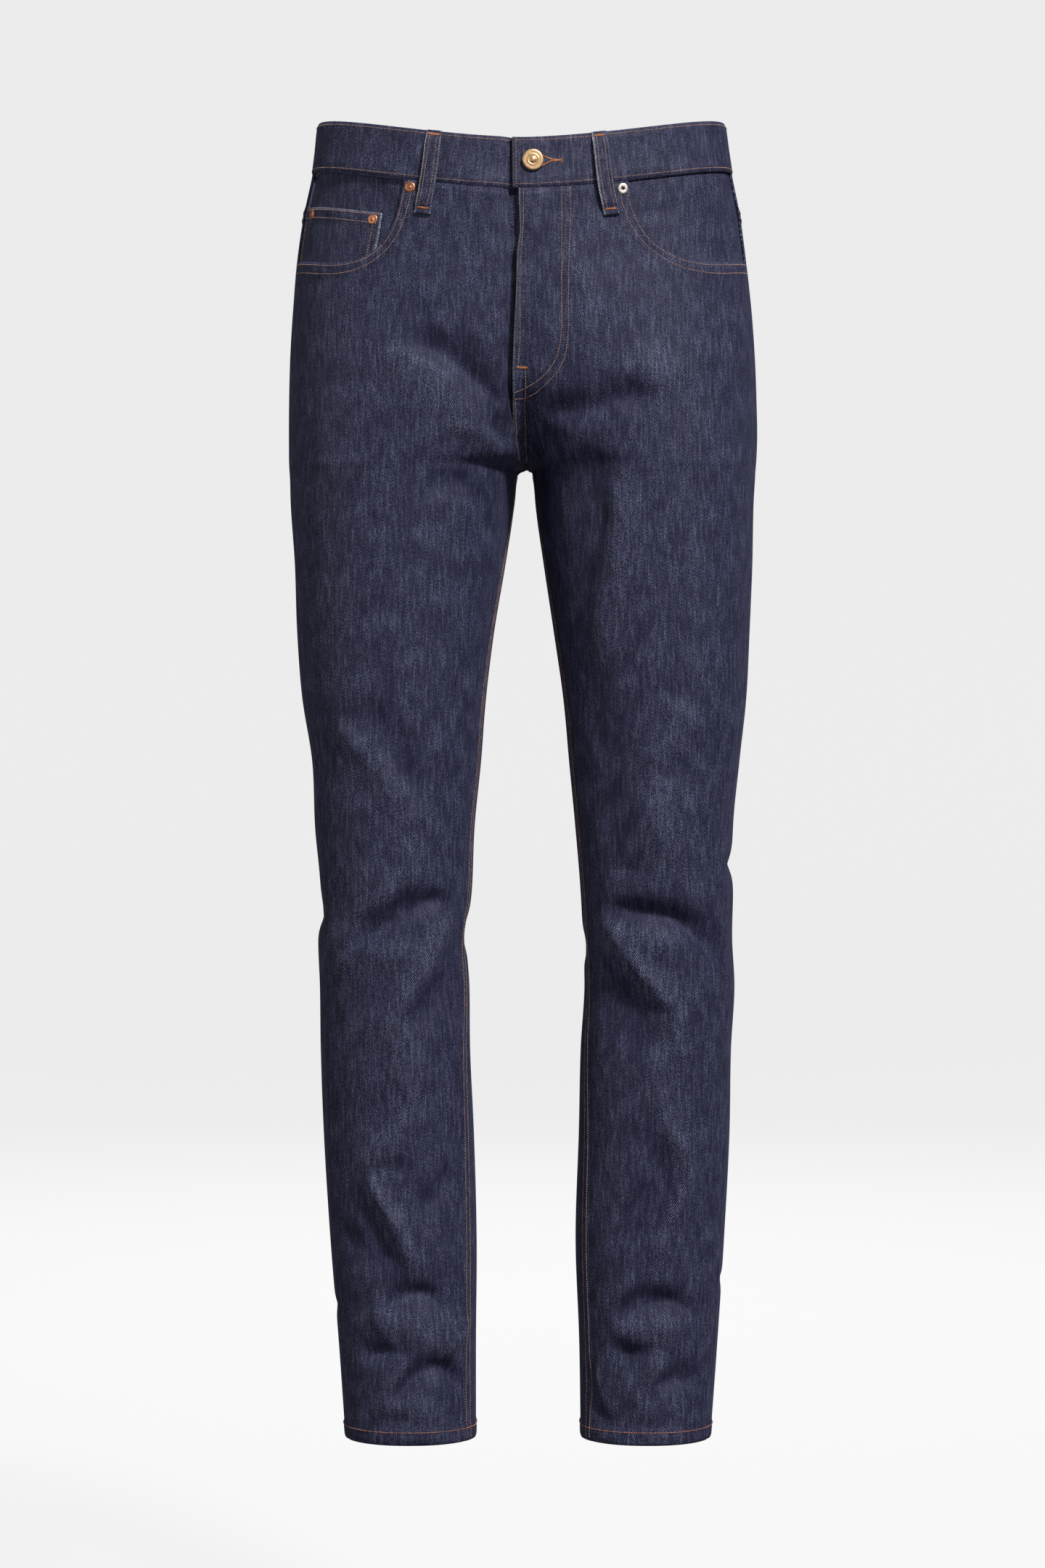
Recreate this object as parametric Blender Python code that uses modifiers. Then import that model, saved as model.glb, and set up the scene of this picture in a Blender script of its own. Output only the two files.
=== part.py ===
"""Slim fit five-pocket jeans, hollow and filled out as when they are worn.

Frame: metres, +Z up, the front faces -Y and +X is the wearer's left. The origin is the middle of the
waistband's ring, where the waist holds the jeans.

Each leg is a tube of ovals, one at each height. A place on the cloth is its leg, its angle round the
leg's oval (0 the outer side, 90 the front, 180 the inner side, 270 the back) and its height. Above the
crotch the two tubes run into each other, and the panels stop at the seam plane where they cross.
"""

import bpy
import bmesh
import numpy as np
from math import degrees, pi, radians
from mathutils import Vector

MM = 0.001
SIDE = {"right": -1, "left": 1}          # which way the outer side of each leg lies along X

# ---- driving sizes, in metres -------------------------------------------------------------------
CLOTH_WALL = 0.0014                      # heavy denim with its turned seams
BAND_WALL = 0.0030                       # four layers in the waistband
BAND_HEIGHT = 0.041
BAND_PROUD = 0.0006                      # the waistband stands out from the panels below it
FACING_WALL = 0.0012
COIN_WALL = 0.0010
BACK_POCKET_WALL = 0.0013
SEAM_GAP = 0.0003                        # between neighbours
LAYER_GAP = 0.0008                       # between layers whose folds of cloth don't match

SIDE_DIP = 0.003                         # the waistband's middle line is this far below the origin at the sides,
FRONT_DIP = 0.030                        # this far below it at the front,
BACK_RISE = 0.004                        # and this far above it at the back
DIP_POWER = 1.66                         # how the dip grows from the side to the middle
CROTCH_HEIGHT = -0.2645
HEM_HEIGHT = -1.0625
OVAL_POWER = 2.2                         # 2 is an ellipse, more is squarer

FLY_LAP = 0.0078                         # the left front laps over the right by this much
WAIST_RADIUS = 0.135                     # mean radius of the waist
HEM_TURN = 0.0115                        # height of the turned-up hem
HEM_PROUD = 0.0006
HEM_STEP = 0.0020                        # height over which the hem stands out

# ---- the ovals, in millimetres -------------------------------------------------------------------
SECTION_COLUMNS = ("height", "right_outer", "right_inner", "left_inner", "left_outer", "front", "back")
SECTIONS = (
    (40, -166, 165, -166, 165, -102, 103),
    (20, -168.5, 168, -168.5, 167, -103.5, 105),
    (-20, -173, 173, -173, 172.5, -107, 109),
    (-58, -181, 176, -177, 180, -110, 116),
    (-95, -186.5, 165, -163, 185, -112, 122),
    (-130, -189.5, 134.5, -131.5, 189, -113.5, 126),
    (-170, -192, 93, -91.5, 192, -114, 127),
    (-210, -193, 55, -53, 193.5, -113, 125),
    (-245, -193, 20, -16, 193.8, -111, 119),
    (-264.5, -192.6, 3.6, 3.6, 192.6, -110, 114),
    (-273, -192, -4, 9.2, 192, -109, 112),
    (-291, -191.4, -6.6, 10.8, 190.8, -108, 106),
    (-345, -187.5, -14.4, 17.8, 189.3, -105, 92),
    (-400, -185.4, -23.4, 25.8, 186.8, -102, 80),
    (-455, -181, -30, 33.5, 183.9, -98, 70),
    (-507, -172.8, -34.2, 38.4, 178.2, -93, 63),
    (-560, -170.5, -39.5, 43.5, 173, -89, 57),
    (-615, -166, -42, 48, 173, -84.5, 52),
    (-652, -168, -46, 49.8, 172.4, -80, 52),
    (-690, -166.8, -43.8, 51, 174.4, -76.5, 54),
    (-742, -166.2, -43.2, 48, 171.8, -72.5, 55),
    (-810, -164, -40.2, 46.5, 170.8, -67, 57),
    (-903, -158.4, -37.8, 43.8, 166.2, -61.5, 57),
    (-985, -151.8, -38.4, 46.8, 161, -58, 56.5),
    (-1062.5, -146.4, -38.4, 48, 155.4, -56, 56),
)

# How far each side seam lies forward of the outer side, and each inseam forward of the inner side.
SEAM_COLUMNS = ("height", "outseam", "inseam")
SEAMS = (
    (40, 6, 0),
    (-150, 7, 0),
    (-264.5, 12, 0),
    (-330, 17, 9),
    (-430, 23, 14),
    (-640, 35, 15),
    (-800, 29, 22),
    (-1062.5, 25, 25),
)

# The largest folds: a crease from one place to another, bowed upwards or down, its half width and how
# far it stands out (or goes in, below 0). Degrees round the leg, and millimetres.
FOLD_COLUMNS = ("from_angle", "from_height", "to_angle", "to_height", "bow", "width", "lift")
FOLDS = {
    "right": (
        (72, -170, 127, -232, 4, 12, -4.5),
        (66, -186, 136, -256, -4, 13, 3.0),
        (97, -296, 138, -309, 16, 10, -2.8),
        (57, -478, 101, -545, 0, 11, 3.2),
        (78, -462, 108, -538, 0, 11, -3.2),
        (101, -545, 97, -600, 0, 11, 2.2),
        (39, -668, 96, -600, 0, 12, 3.0),
        (66, -656, 127, -618, 12, 10, -5.5),
        (70, -666, 104, -664, 0, 11, 2.4),
        (92, -716, 134, -634, 0, 11, 3.4),
        (92, -718, 100, -790, 8, 11, 2.6),
        (98, -720, 131, -682, 0, 13, -3.0),
        (68, -842, 101, -791, 0, 11, 2.8),
        (67, -846, 97, -917, 0, 10, 3.6),
        (40, -892, 90, -919, 0, 13, -3.2),
        (107, -869, 134, -840, 0, 11, -2.0),
        (76, -944, 119, -949, 8, 10, -4.4),
        (66, -958, 138, -980, 0, 13, 2.8),
        (54, -985, 74, -990, 0, 11, -3.0),
        (86, -1012, 139, -1015, 14, 10, -4.4),
        (68, -1034, 110, -1033, 0, 11, 2.0),
        (236, -292, 304, -268, 6, 13, -4.0),
        (228, -330, 290, -312, 4, 13, -2.6),
        (222, -594, 312, -584, -6, 12, -4.0),
        (228, -616, 318, -610, -4, 11, 2.6),
        (226, -640, 322, -638, -8, 12, -4.6),
        (232, -676, 306, -668, -5, 12, -3.4),
        (250, -390, 282, -520, 0, 14, 2.4),
        (244, -780, 300, -850, 0, 13, 2.4),
        (238, -946, 300, -938, -6, 11, -3.4),
        (232, -1002, 292, -1010, -5, 11, -3.2),
        (330, -640, 385, -622, 0, 12, -2.6),
        (165, -640, 205, -652, 0, 11, -2.4),
    ),
    "left": (
        (77, -211, 127, -228, -3, 11, -4.5),
        (58, -190, 80, -206, 0, 15, 2.4),
        (112, -262, 137, -420, 0, 15, -4.0),
        (126, -430, 112, -600, 0, 16, -2.8),
        (99, -290, 122, -424, 0, 14, 2.4),
        (71, -466, 93, -512, 0, 11, 3.2),
        (92, -512, 86, -588, 0, 12, 2.6),
        (75, -505, 88, -522, 0, 9, -2.0),
        (38, -667, 124, -628, 13, 11, -5.8),
        (76, -657, 112, -650, 0, 13, 2.6),
        (82, -713, 135, -635, 0, 12, 3.8),
        (76, -735, 84, -712, 0, 11, 2.6),
        (76, -737, 90, -792, 6, 12, 2.6),
        (100, -742, 130, -690, 0, 15, -3.4),
        (68, -838, 91, -792, 0, 11, 2.8),
        (68, -840, 90, -911, 0, 10, 3.6),
        (94, -850, 106, -900, 0, 14, -2.4),
        (56, -953, 121, -953, 11, 10, -4.8),
        (60, -970, 114, -972, 0, 12, 3.0),
        (90, -988, 122, -988, 0, 11, -3.4),
        (82, -992, 101, -1030, 0, 10, 3.0),
        (40, -1014, 94, -1021, 10, 10, -3.6),
        (236, -286, 306, -264, 6, 13, -4.0),
        (232, -322, 296, -306, 4, 13, -2.6),
        (226, -588, 314, -580, -6, 12, -3.8),
        (230, -612, 320, -604, -4, 11, 2.6),
        (224, -634, 316, -630, -8, 12, -4.8),
        (236, -668, 312, -664, -5, 12, -3.4),
        (256, -380, 286, -500, 0, 14, 2.4),
        (240, -800, 296, -862, 0, 13, 2.4),
        (242, -952, 304, -942, -6, 11, -3.4),
        (236, -1008, 296, -1014, -5, 11, -3.0),
        (332, -600, 388, -584, 0, 12, -2.6),
        (165, -654, 205, -662, 0, 11, -2.4),
    ),
}
FOLD_FREE = (12 * MM, 34 * MM)           # folds die out between these distances of the middle seams

# ---- rows and columns of the panels -------------------------------------------------------------
PANEL_COLUMNS = 13
WAIST_COLUMNS = 5                        # of a front's columns, those between the middle and its pocket
UPPER_ROWS = 10                          # from the waist to the crotch
RISE_CROWDING = 2.2                      # the rows crowd together towards the crotch
CROTCH_ROW_FALL = 36 * MM                # the crotch row is this much lower at the side seam
LOWER_ROWS = ((-300.5, -600, 12), (-600, -738, 9), (-738, -930, 7), (-930, -1051, 7))  # from, to, rows
LAP_BY_ROW = (1, 1, 1, 1, 1, 0.8, 0.45, 0.12)   # the fly's lap narrows to nothing below its last rows
UNDER_BY_ROW = (2.5, 2.5, 2.5, 2.5, 1.2, -0.8, -0.8, -0.8)   # the right front's edge, past the middle, in mm

# ---- pockets ------------------------------------------------------------------------------------
MOUTH_DROP = 73 * MM                     # depth of the pocket's mouth at the side seam
MOUTH_WIDTH = 104 * MM                   # from the side seam to its upper end
MOUTH_STEPS = 61                         # steps that its length is measured in
MOUTHS = {"right": (45.9, 4.5), "left": (50.1, 3.6)}   # angle of its upper end, squareness of its curve
FACING_REACH = 1.09                      # the facing's width, in widths of the mouth
FACING_CURVE = 1.12
FACING_TUCK = 15 * MM                    # how far it runs on below the mouth, under the panel
FACING_COLUMNS = 10
FACING_ROWS = 5
FACING_SINK = {"right": CLOTH_WALL + LAYER_GAP + COIN_WALL + SEAM_GAP, "left": CLOTH_WALL + LAYER_GAP}
COIN_COLUMNS = 8                         # it covers these columns of the facing, from the side seam
COIN_FLARE = 0.06                        # it is wider at the bottom by this part
COIN_DROP = 28.7 * MM                    # its top edge, below the waist seam
COIN_ROWS = 4
COIN_SHORT = 4 * MM                      # it ends this much above the facing's lower edge

YOKE_SIDE = 38 * MM                      # depth of the yoke at the side seam
YOKE_MIDDLE = 72 * MM                    # and at the middle of the back
YOKE_ROWS = 3
BACK_POCKET_COLUMNS = (2, 10)
BACK_POCKET_ROWS = (1, 7)
BACK_POCKET_HANG = (0.15, 0.9)           # rows below those, at its corners and at its point
BACK_POCKET_GAP = 0.5 * MM

# ---- waistband, in turns round the waist in degrees ----------------------------------------------
BAND_START = -13.0                       # its right end, under the left one
BAND_END = 364.2                         # its left end, with the buttonhole
BAND_DIP = (1.0, 16.0)                   # the right end dips inwards between these turns
BAND_COLUMNS = 58
BAND_ROWS = 2

# ---- belt loops: turn round the waist at the top and at the bottom, 0 the middle front, 90 the right side
LOOPS = {
    "belt_loop_front_right": (35.3, 35.4),
    "belt_loop_side_right": (103.0, 103.0),
    "belt_loop_back": (180.0, 180.0),
    "belt_loop_side_left": (257.0, 257.0),
    "belt_loop_front_left": (328.9, 328.2),
}
LOOP_COLUMNS = 2
LOOP_WIDTH = 0.013
LOOP_WALL = 0.0018
LOOP_SEAT = 0.0004                       # gap below its sewn ends
LOOP_STAND = 0.0032                      # gap below its middle, where a belt goes
LOOP_ABOVE = 0.0002                      # it stands this much above the waistband
LOOP_BELOW = 0.0262                      # and runs this much below the waist seam
LOOP_STEP = 0.0080                       # height over which it steps up onto the waistband
LOOP_SHAPE = (                           # part of its length from the top, part of its stand-off
    (0.00, 0.0), (0.06, 0.0), (0.12, 0.75), (0.18, 1.0), (0.34, 1.0), (0.50, 1.0), (0.66, 1.0),
    (0.82, 1.0), (0.88, 0.75), (0.94, 0.0), (1.00, 0.0),
)

# ---- metal --------------------------------------------------------------------------------------
METAL_GAP = 0.0004
BUTTON_SIDES = 24
RIVET_SIDES = 14
BUTTON_TURN = -4.4                       # just to the wearer's left of the middle
BUTTON_ABOVE = 0.0220                    # above the waist seam
BUTTON_PROFILE = (                       # radius and height, from the top of the face to the foot
    (0.0, 4.3), (2.6, 4.1), (4.6, 3.4), (5.4, 3.1), (6.5, 3.3), (7.7, 3.3), (8.4, 2.8), (8.5, 2.1),
    (7.9, 1.4), (2.6, 1.2), (2.4, 0.0), (0.0, 0.0),
)
RIVET_PROFILE = ((0.0, 1.5), (2.2, 1.4), (3.4, 1.0), (4.25, 0.4), (4.3, 0.0), (0.0, 0.0))
RIVETS = {                               # leg, angle, drop below the waist seam, what it sits on
    "rivet_mouth_right": ("right", 48.6, 6.0 * MM, "panel"),
    "rivet_coin_side": ("right", 12.4, 34.8 * MM, "coin"),
    "rivet_coin_inner": ("right", 38.2, 34.4 * MM, "coin"),
    "rivet_mouth_left": ("left", 52.3, 6.2 * MM, "panel"),
}
RIVET_SEATS = {"panel": 0.0, "coin": -CLOTH_WALL - LAYER_GAP}


# ---- the shape of the body ----------------------------------------------------------------------
def curve_through(rows, columns, name, height):
    """Smooth curve through one column of a table of millimetres or degrees, read at these heights."""
    table = np.array(rows)[::-1]
    knots = table[:, 0] * MM
    values = table[:, columns.index(name)]
    slopes = np.gradient(values, knots)
    below = np.clip(np.searchsorted(knots, height) - 1, 0, len(knots) - 2)
    span = knots[below + 1] - knots[below]
    t = (height - knots[below]) / span
    return ((2 * t**3 - 3 * t**2 + 1) * values[below] + (t**3 - 2 * t**2 + t) * span * slopes[below]
            + (3 * t**2 - 2 * t**3) * values[below + 1] + (t**3 - t**2) * span * slopes[below + 1])


def section(name, height):
    return curve_through(SECTIONS, SECTION_COLUMNS, name, height) * MM


def seam(name, height):
    return curve_through(SEAMS, SEAM_COLUMNS, name, height)


def ease(start, end, value):
    """0 before start, 1 after end, smooth between."""
    t = np.clip((value - start) / (end - start), 0, 1)
    return t * t * (3 - 2 * t)


def oval(leg, height):
    """Middle and half sizes of a leg's oval."""
    outer = section(leg + "_outer", height)
    inner = section(leg + "_inner", height)
    front = section("front", height)
    back = section("back", height)
    return (outer + inner) / 2, (front + back) / 2, abs(outer - inner) / 2, (back - front) / 2


def seam_plane(height):
    """X of the middle seams, where the two legs' ovals cross, and their share of overlap there."""
    right_inner = section("right_inner", height)
    half_right = oval("right", height)[2]
    half_left = oval("left", height)[2]
    overlap = (right_inner - section("left_inner", height)) / (half_right + half_left)
    return right_inner - half_right * overlap, np.clip(overlap, 0, 1)


def angle_at(leg, x, height):
    """Angle at which the front of a leg's oval crosses x."""
    middle_x, _, half_width, half_depth = oval(leg, height)
    across = np.clip(SIDE[leg] * (x - middle_x) / half_width, -1, 1)
    forward = (1 - abs(across)**OVAL_POWER)**(1 / OVAL_POWER)
    return np.degrees(np.arctan2(forward * half_depth, across * half_width))


def front_inner_angle(leg, height):
    """Angle of the fly seam above the crotch, and of the inseam below it."""
    return np.where(height >= CROTCH_HEIGHT, angle_at(leg, seam_plane(height)[0], height),
                    180 - seam("inseam", height))


def back_inner_angle(leg, height):
    """Angle of the seat seam above the crotch, and of the inseam below it."""
    return np.where(height >= CROTCH_HEIGHT, 360 - angle_at(leg, seam_plane(height)[0], height),
                    180 - seam("inseam", height))


def fold_lift(leg, angle, height):
    """How far the folds move the cloth out of its oval."""
    lift = np.zeros_like(height)
    for row in FOLDS[leg]:
        fold = dict(zip(FOLD_COLUMNS, row))
        start_height = fold["from_height"] * MM
        run_down = (fold["to_height"] - fold["from_height"]) * MM
        _, _, half_width, half_depth = oval(leg, np.array(start_height + run_down / 2))
        radius = (half_width + half_depth) / 2
        run_round = radians(fold["to_angle"] - fold["from_angle"]) * radius
        middle_angle = (fold["from_angle"] + fold["to_angle"]) / 2
        turned = (angle - middle_angle + 180) % 360 - 180
        round_it = np.radians(turned) * radius
        down_it = height - start_height - run_down / 2
        length = np.hypot(run_round, run_down)
        along = (round_it * run_round + down_it * run_down) / length**2 + 0.5
        aside = (down_it * run_round - round_it * run_down) / length
        aside = aside - fold["bow"] * MM * (1 - (2 * along - 1)**2)
        lift += fold["lift"] * MM * np.exp(-(2 * along - 1)**6 - (aside / (fold["width"] * MM))**2)
    return lift


def cloth(leg, angle, height, lift=0.0):
    """Points of a leg's cloth, moved out by lift."""
    angle, height = np.broadcast_arrays(np.asarray(angle, float), np.asarray(height, float))
    middle_x, middle_y, half_width, half_depth = oval(leg, height)
    turn = np.radians(angle)
    reach = ((abs(np.cos(turn)) / half_width)**OVAL_POWER
             + (abs(np.sin(turn)) / half_depth)**OVAL_POWER)**(-1 / OVAL_POWER)
    across = reach * np.cos(turn)
    forward = reach * np.sin(turn)
    out_across = np.sign(across) * (abs(across) / half_width)**(OVAL_POWER - 1) / half_width
    out_forward = np.sign(forward) * (abs(forward) / half_depth)**(OVAL_POWER - 1) / half_depth
    size = np.hypot(out_across, out_forward)
    from_seam = abs(middle_x + SIDE[leg] * across - seam_plane(height)[0])
    free = np.where(height > CROTCH_HEIGHT, ease(*FOLD_FREE, from_seam), 1)
    below = ease(CROTCH_HEIGHT, CROTCH_HEIGHT - FOLD_FREE[1], height)
    free = np.where(height > CROTCH_HEIGHT, free, ease(*FOLD_FREE, from_seam) * (1 - below) + below)
    out = lift + free * fold_lift(leg, angle, height)
    x = middle_x + SIDE[leg] * (across + out * out_across / size)
    y = middle_y - forward - out * out_forward / size
    return np.stack([x, y, height], axis=-1)


def waist_rise(leg, angle):
    """Height of the waistband's middle line."""
    _, _, half_width, half_depth = oval(leg, np.array(0.0))
    turn = np.radians(np.asarray(angle, float))
    reach = ((abs(np.cos(turn)) / half_width)**OVAL_POWER
             + (abs(np.sin(turn)) / half_depth)**OVAL_POWER)**(-1 / OVAL_POWER)
    from_side = 1 - (reach * abs(np.cos(turn)) / half_width)**DIP_POWER
    return -SIDE_DIP + np.where(np.sin(turn) > 0, SIDE_DIP - FRONT_DIP, SIDE_DIP + BACK_RISE) * from_side


def waist_seam(leg, angle):
    """Height of the panels' upper edge."""
    return waist_rise(leg, angle) - BAND_HEIGHT / 2 - SEAM_GAP / 2


def edge_angle(leg, height, gap=SEAM_GAP / 2):
    """The angle that a gap along a seam takes up."""
    _, _, half_width, half_depth = oval(leg, height)
    return np.degrees(gap / np.minimum(half_width, half_depth))


# ---- making pieces ------------------------------------------------------------------------------
def new_collection(name):
    collection = bpy.data.collections.new(name)
    bpy.context.scene.collection.children.link(collection)
    return collection


def new_material(name, colour, roughness, metallic=0.0):
    material = bpy.data.materials.new(name)
    material.use_nodes = True
    shader = material.node_tree.nodes["Principled BSDF"]
    shader.inputs["Base Color"].default_value = (*colour, 1)
    shader.inputs["Roughness"].default_value = roughness
    shader.inputs["Metallic"].default_value = metallic
    return material


def add_piece(name, mesh, material):
    mesh.materials.append(material)
    mesh.shade_smooth()
    piece = bpy.data.objects.new(name, mesh)
    jeans.objects.link(piece)
    return piece


def sheet(name, columns, rows, place, wall, material, keep=None):
    """A piece of cloth: a grid laid on the body by place(column, row, lift), and a copy of it sunk by the
    thickness of the cloth, joined round their edges."""
    grid = bmesh.new()
    bmesh.ops.create_grid(grid, x_segments=columns, y_segments=rows, size=0.5)
    number = grid.verts.layers.int.new("number")
    for index, vertex in enumerate(grid.verts):
        vertex[number] = index
    column = np.array([round((vertex.co.x + 0.5) * columns) for vertex in grid.verts], float)
    row = np.array([round((0.5 - vertex.co.y) * rows) for vertex in grid.verts], float)
    if keep:
        middles = [(face, face.calc_center_median()) for face in grid.faces]
        spare = [face for face, middle in middles
                 if not keep((middle.x + 0.5) * columns, (0.5 - middle.y) * rows)]
        bmesh.ops.delete(grid, geom=spare, context="FACES")
    outside = place(column, row, 0.0)
    inside = place(column, row, -wall)
    for vertex in grid.verts:
        vertex.co = outside[vertex[number]]
    sunk = bmesh.ops.extrude_face_region(grid, geom=grid.faces[:])
    for vertex in sunk["geom"]:
        if isinstance(vertex, bmesh.types.BMVert):
            vertex.co = inside[vertex[number]]
    bmesh.ops.recalc_face_normals(grid, faces=grid.faces)
    mesh = bpy.data.meshes.new(name)
    grid.to_mesh(mesh)
    grid.free()
    return add_piece(name, mesh, material)


def turned(name, profile, steps, point, direction, material):
    """A turned metal piece, its axis along direction and its foot at point."""
    mesh = bpy.data.meshes.new(name)
    points = [(radius * MM, 0, height * MM) for radius, height in profile]
    mesh.from_pydata(points, [(i, i + 1) for i in range(len(points) - 1)], [])
    piece = add_piece(name, mesh, material)
    screw = piece.modifiers.new("turn", "SCREW")
    screw.steps = screw.render_steps = steps
    screw.use_merge_vertices = True
    screw.merge_threshold = 0.00001
    piece.location = point
    piece.rotation_mode = "QUATERNION"
    piece.rotation_quaternion = Vector((0, 0, 1)).rotation_difference(Vector(direction))
    return piece


# ---- front panels -------------------------------------------------------------------------------
def mouth(leg, part):
    """Angle and drop below the waist seam of a pocket's mouth, from its upper end (0) to the side (1)."""
    upper_angle, power = MOUTHS[leg]
    bends = np.linspace(0, pi / 2, MOUTH_STEPS)
    across = np.cos(bends)**(2 / power)
    down = np.sin(bends)**(2 / power)
    steps = np.hypot(np.diff(across) * MOUTH_WIDTH, np.diff(down) * MOUTH_DROP)
    length = np.concatenate([[0], np.cumsum(steps)])
    side_height = np.array(-SIDE_DIP - BAND_HEIGHT / 2 - MOUTH_DROP)
    side_angle = seam("outseam", side_height) + edge_angle(leg, side_height)
    angle = side_angle + (upper_angle - side_angle) * np.interp(part * length[-1], length, across)
    return angle, MOUTH_DROP * np.interp(part * length[-1], length, down)


def row_levels():
    """Heights at the side seam of the rows below the crotch, down to the hem."""
    levels = [LOWER_ROWS[0][0]]
    for start, end, count in LOWER_ROWS:
        levels += [start + (end - start) * (i + 1) / count for i in range(count)]
    return np.array(levels + [HEM_HEIGHT / MM]) * MM


PANEL_ROWS = UPPER_ROWS + len(row_levels()) - 1


def panel_heights(top, part, row):
    """Heights of a panel's points, from its top edge through the crotch row to the hem."""
    crotch_row = CROTCH_HEIGHT - CROTCH_ROW_FALL * (1 - (1 - part)**2)
    down = np.clip(row / UPPER_ROWS, 0, 1)
    crowded = 1 - (1 - down)**RISE_CROWDING
    down = down + (crowded - down) * (1 - part)**3
    levels = row_levels()
    level = np.interp(row - UPPER_ROWS, range(len(levels)), levels)
    stretch = (crotch_row - HEM_HEIGHT) / (levels[0] - HEM_HEIGHT)
    return np.where(row <= UPPER_ROWS, top + (crotch_row - top) * down, HEM_HEIGHT + (level - HEM_HEIGHT) * stretch)


def hem_lift(height):
    return HEM_PROUD * ease(HEM_HEIGHT + HEM_TURN + HEM_STEP, HEM_HEIGHT + HEM_TURN, height)


def front_point(leg, part, row, lift):
    """Points of a front: part 0 is the fly seam and inseam, part 1 the pocket's mouth and side seam."""
    upper_angle = MOUTHS[leg][0]
    side_angle, side_drop = mouth(leg, np.array(1.0))
    fly_top = waist_seam(leg, 90.0)
    inner_height = panel_heights(fly_top, np.zeros_like(row), row)
    outer_height = panel_heights(waist_seam(leg, side_angle) - side_drop, np.ones_like(row), row)
    inner = front_inner_angle(leg, inner_height) - edge_angle(leg, inner_height)
    outer = seam("outseam", outer_height) + edge_angle(leg, outer_height)
    inner_top = front_inner_angle(leg, fly_top) - edge_angle(leg, fly_top)
    waist_part = WAIST_COLUMNS / PANEL_COLUMNS
    mouth_angle, mouth_drop = mouth(leg, np.clip((part - waist_part) / (1 - waist_part), 0, 1))
    waist_angle = inner_top + (upper_angle - inner_top) * np.clip(part / waist_part, 0, 1)
    top_angle = np.where(part > waist_part, mouth_angle, waist_angle)
    top_part = (inner_top - top_angle) / (inner_top - side_angle)
    level_part = top_part + (part - top_part) * ease(0, UPPER_ROWS, row)
    angle = inner + (outer - inner) * level_part
    height = panel_heights(waist_seam(leg, top_angle) - mouth_drop, part, row)
    return cloth(leg, angle, height, lift + hem_lift(height))


def fly_point(offset, row, lift):
    """Points beside the fly seam, offset along X from it, on whichever leg's oval lies there."""
    height = panel_heights(waist_seam("left", 90.0), np.zeros_like(row), row)
    plane = seam_plane(height)[0]
    x = plane + offset
    right = cloth("right", angle_at("right", x, height), height, lift)
    left = cloth("left", angle_at("left", x, height), height, lift)
    return np.where((x <= plane)[..., None], right, left)


def front(leg, material):
    """A front with its fly: the left one laps over the right one, which dips under it."""
    last = len(LAP_BY_ROW) - 1
    strips = 1 if leg == "left" else 2

    def place(column, row, lift):
        points = front_point(leg, np.clip((column - strips) / PANEL_COLUMNS, 0, 1), row, lift)
        share = np.interp(row, range(last + 1), LAP_BY_ROW)
        if leg == "left":
            lap = fly_point(-FLY_LAP * share, row, lift)
            return np.where((column == 0)[:, None], lap, points)
        sunk = -(CLOTH_WALL + LAYER_GAP)
        edge = np.interp(row, range(last + 1), UNDER_BY_ROW) * MM
        bend = -FLY_LAP * share - LAYER_GAP
        under = fly_point(edge + (bend - edge) * column / strips, row, lift + sunk)
        dipped = fly_point(bend, row, lift + np.where(row < last, sunk, 0))
        points = np.where(((column == strips) & (row <= last))[:, None], dipped, points)
        return np.where((column < strips)[:, None], under, points)

    rows_lapped = last if leg == "left" else last - 1
    return sheet("front_" + leg, PANEL_COLUMNS + strips, PANEL_ROWS, place, CLOTH_WALL, material,
                 keep=lambda column, row: column > strips or row < rows_lapped)


# ---- pockets of the front -----------------------------------------------------------------------
def facing_point(leg, across, drop, lift):
    """Points behind a pocket's mouth: across 0 is the side seam, 1 the mouth's upper end."""
    side_height = np.array(-SIDE_DIP - BAND_HEIGHT / 2 - MOUTH_DROP)
    side_angle = seam("outseam", side_height) + edge_angle(leg, side_height)
    angle = side_angle + (MOUTHS[leg][0] - side_angle) * across
    return cloth(leg, angle, waist_seam(leg, angle) - drop, lift)


def facing_depth(leg, across):
    """How far down the facing runs."""
    power = MOUTHS[leg][1]
    return (MOUTH_DROP + FACING_TUCK) * (1 - (across / FACING_CURVE)**power)**(1 / power)


def pocket_facing(leg, material):
    def place(column, row, lift):
        across = FACING_REACH * column / FACING_COLUMNS
        return facing_point(leg, across, facing_depth(leg, across) * row / FACING_ROWS, lift - FACING_SINK[leg])

    return sheet("pocket_facing_" + leg, FACING_COLUMNS, FACING_ROWS, place, FACING_WALL, material)


def coin_pocket(material):
    """The small pocket on the right facing, its lower end under the front."""
    sink = FACING_SINK["right"] - SEAM_GAP - COIN_WALL

    def place(column, row, lift):
        across = FACING_REACH * column / FACING_COLUMNS * (1 + COIN_FLARE * row / COIN_ROWS)
        bottom = facing_depth("right", across) - COIN_SHORT
        return facing_point("right", across, COIN_DROP + (bottom - COIN_DROP) * row / COIN_ROWS, lift - sink)

    return sheet("coin_pocket", COIN_COLUMNS, COIN_ROWS, place, COIN_WALL, material)


# ---- back panels, yokes and back pockets --------------------------------------------------------
def yoke_depth(part):
    return YOKE_MIDDLE + (YOKE_SIDE - YOKE_MIDDLE) * part


def back_angle(leg, inner_height, outer_height, part):
    inner = back_inner_angle(leg, inner_height) + edge_angle(leg, inner_height)
    outer = 360 + seam("outseam", outer_height) - edge_angle(leg, outer_height)
    return inner + (outer - inner) * part


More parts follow.
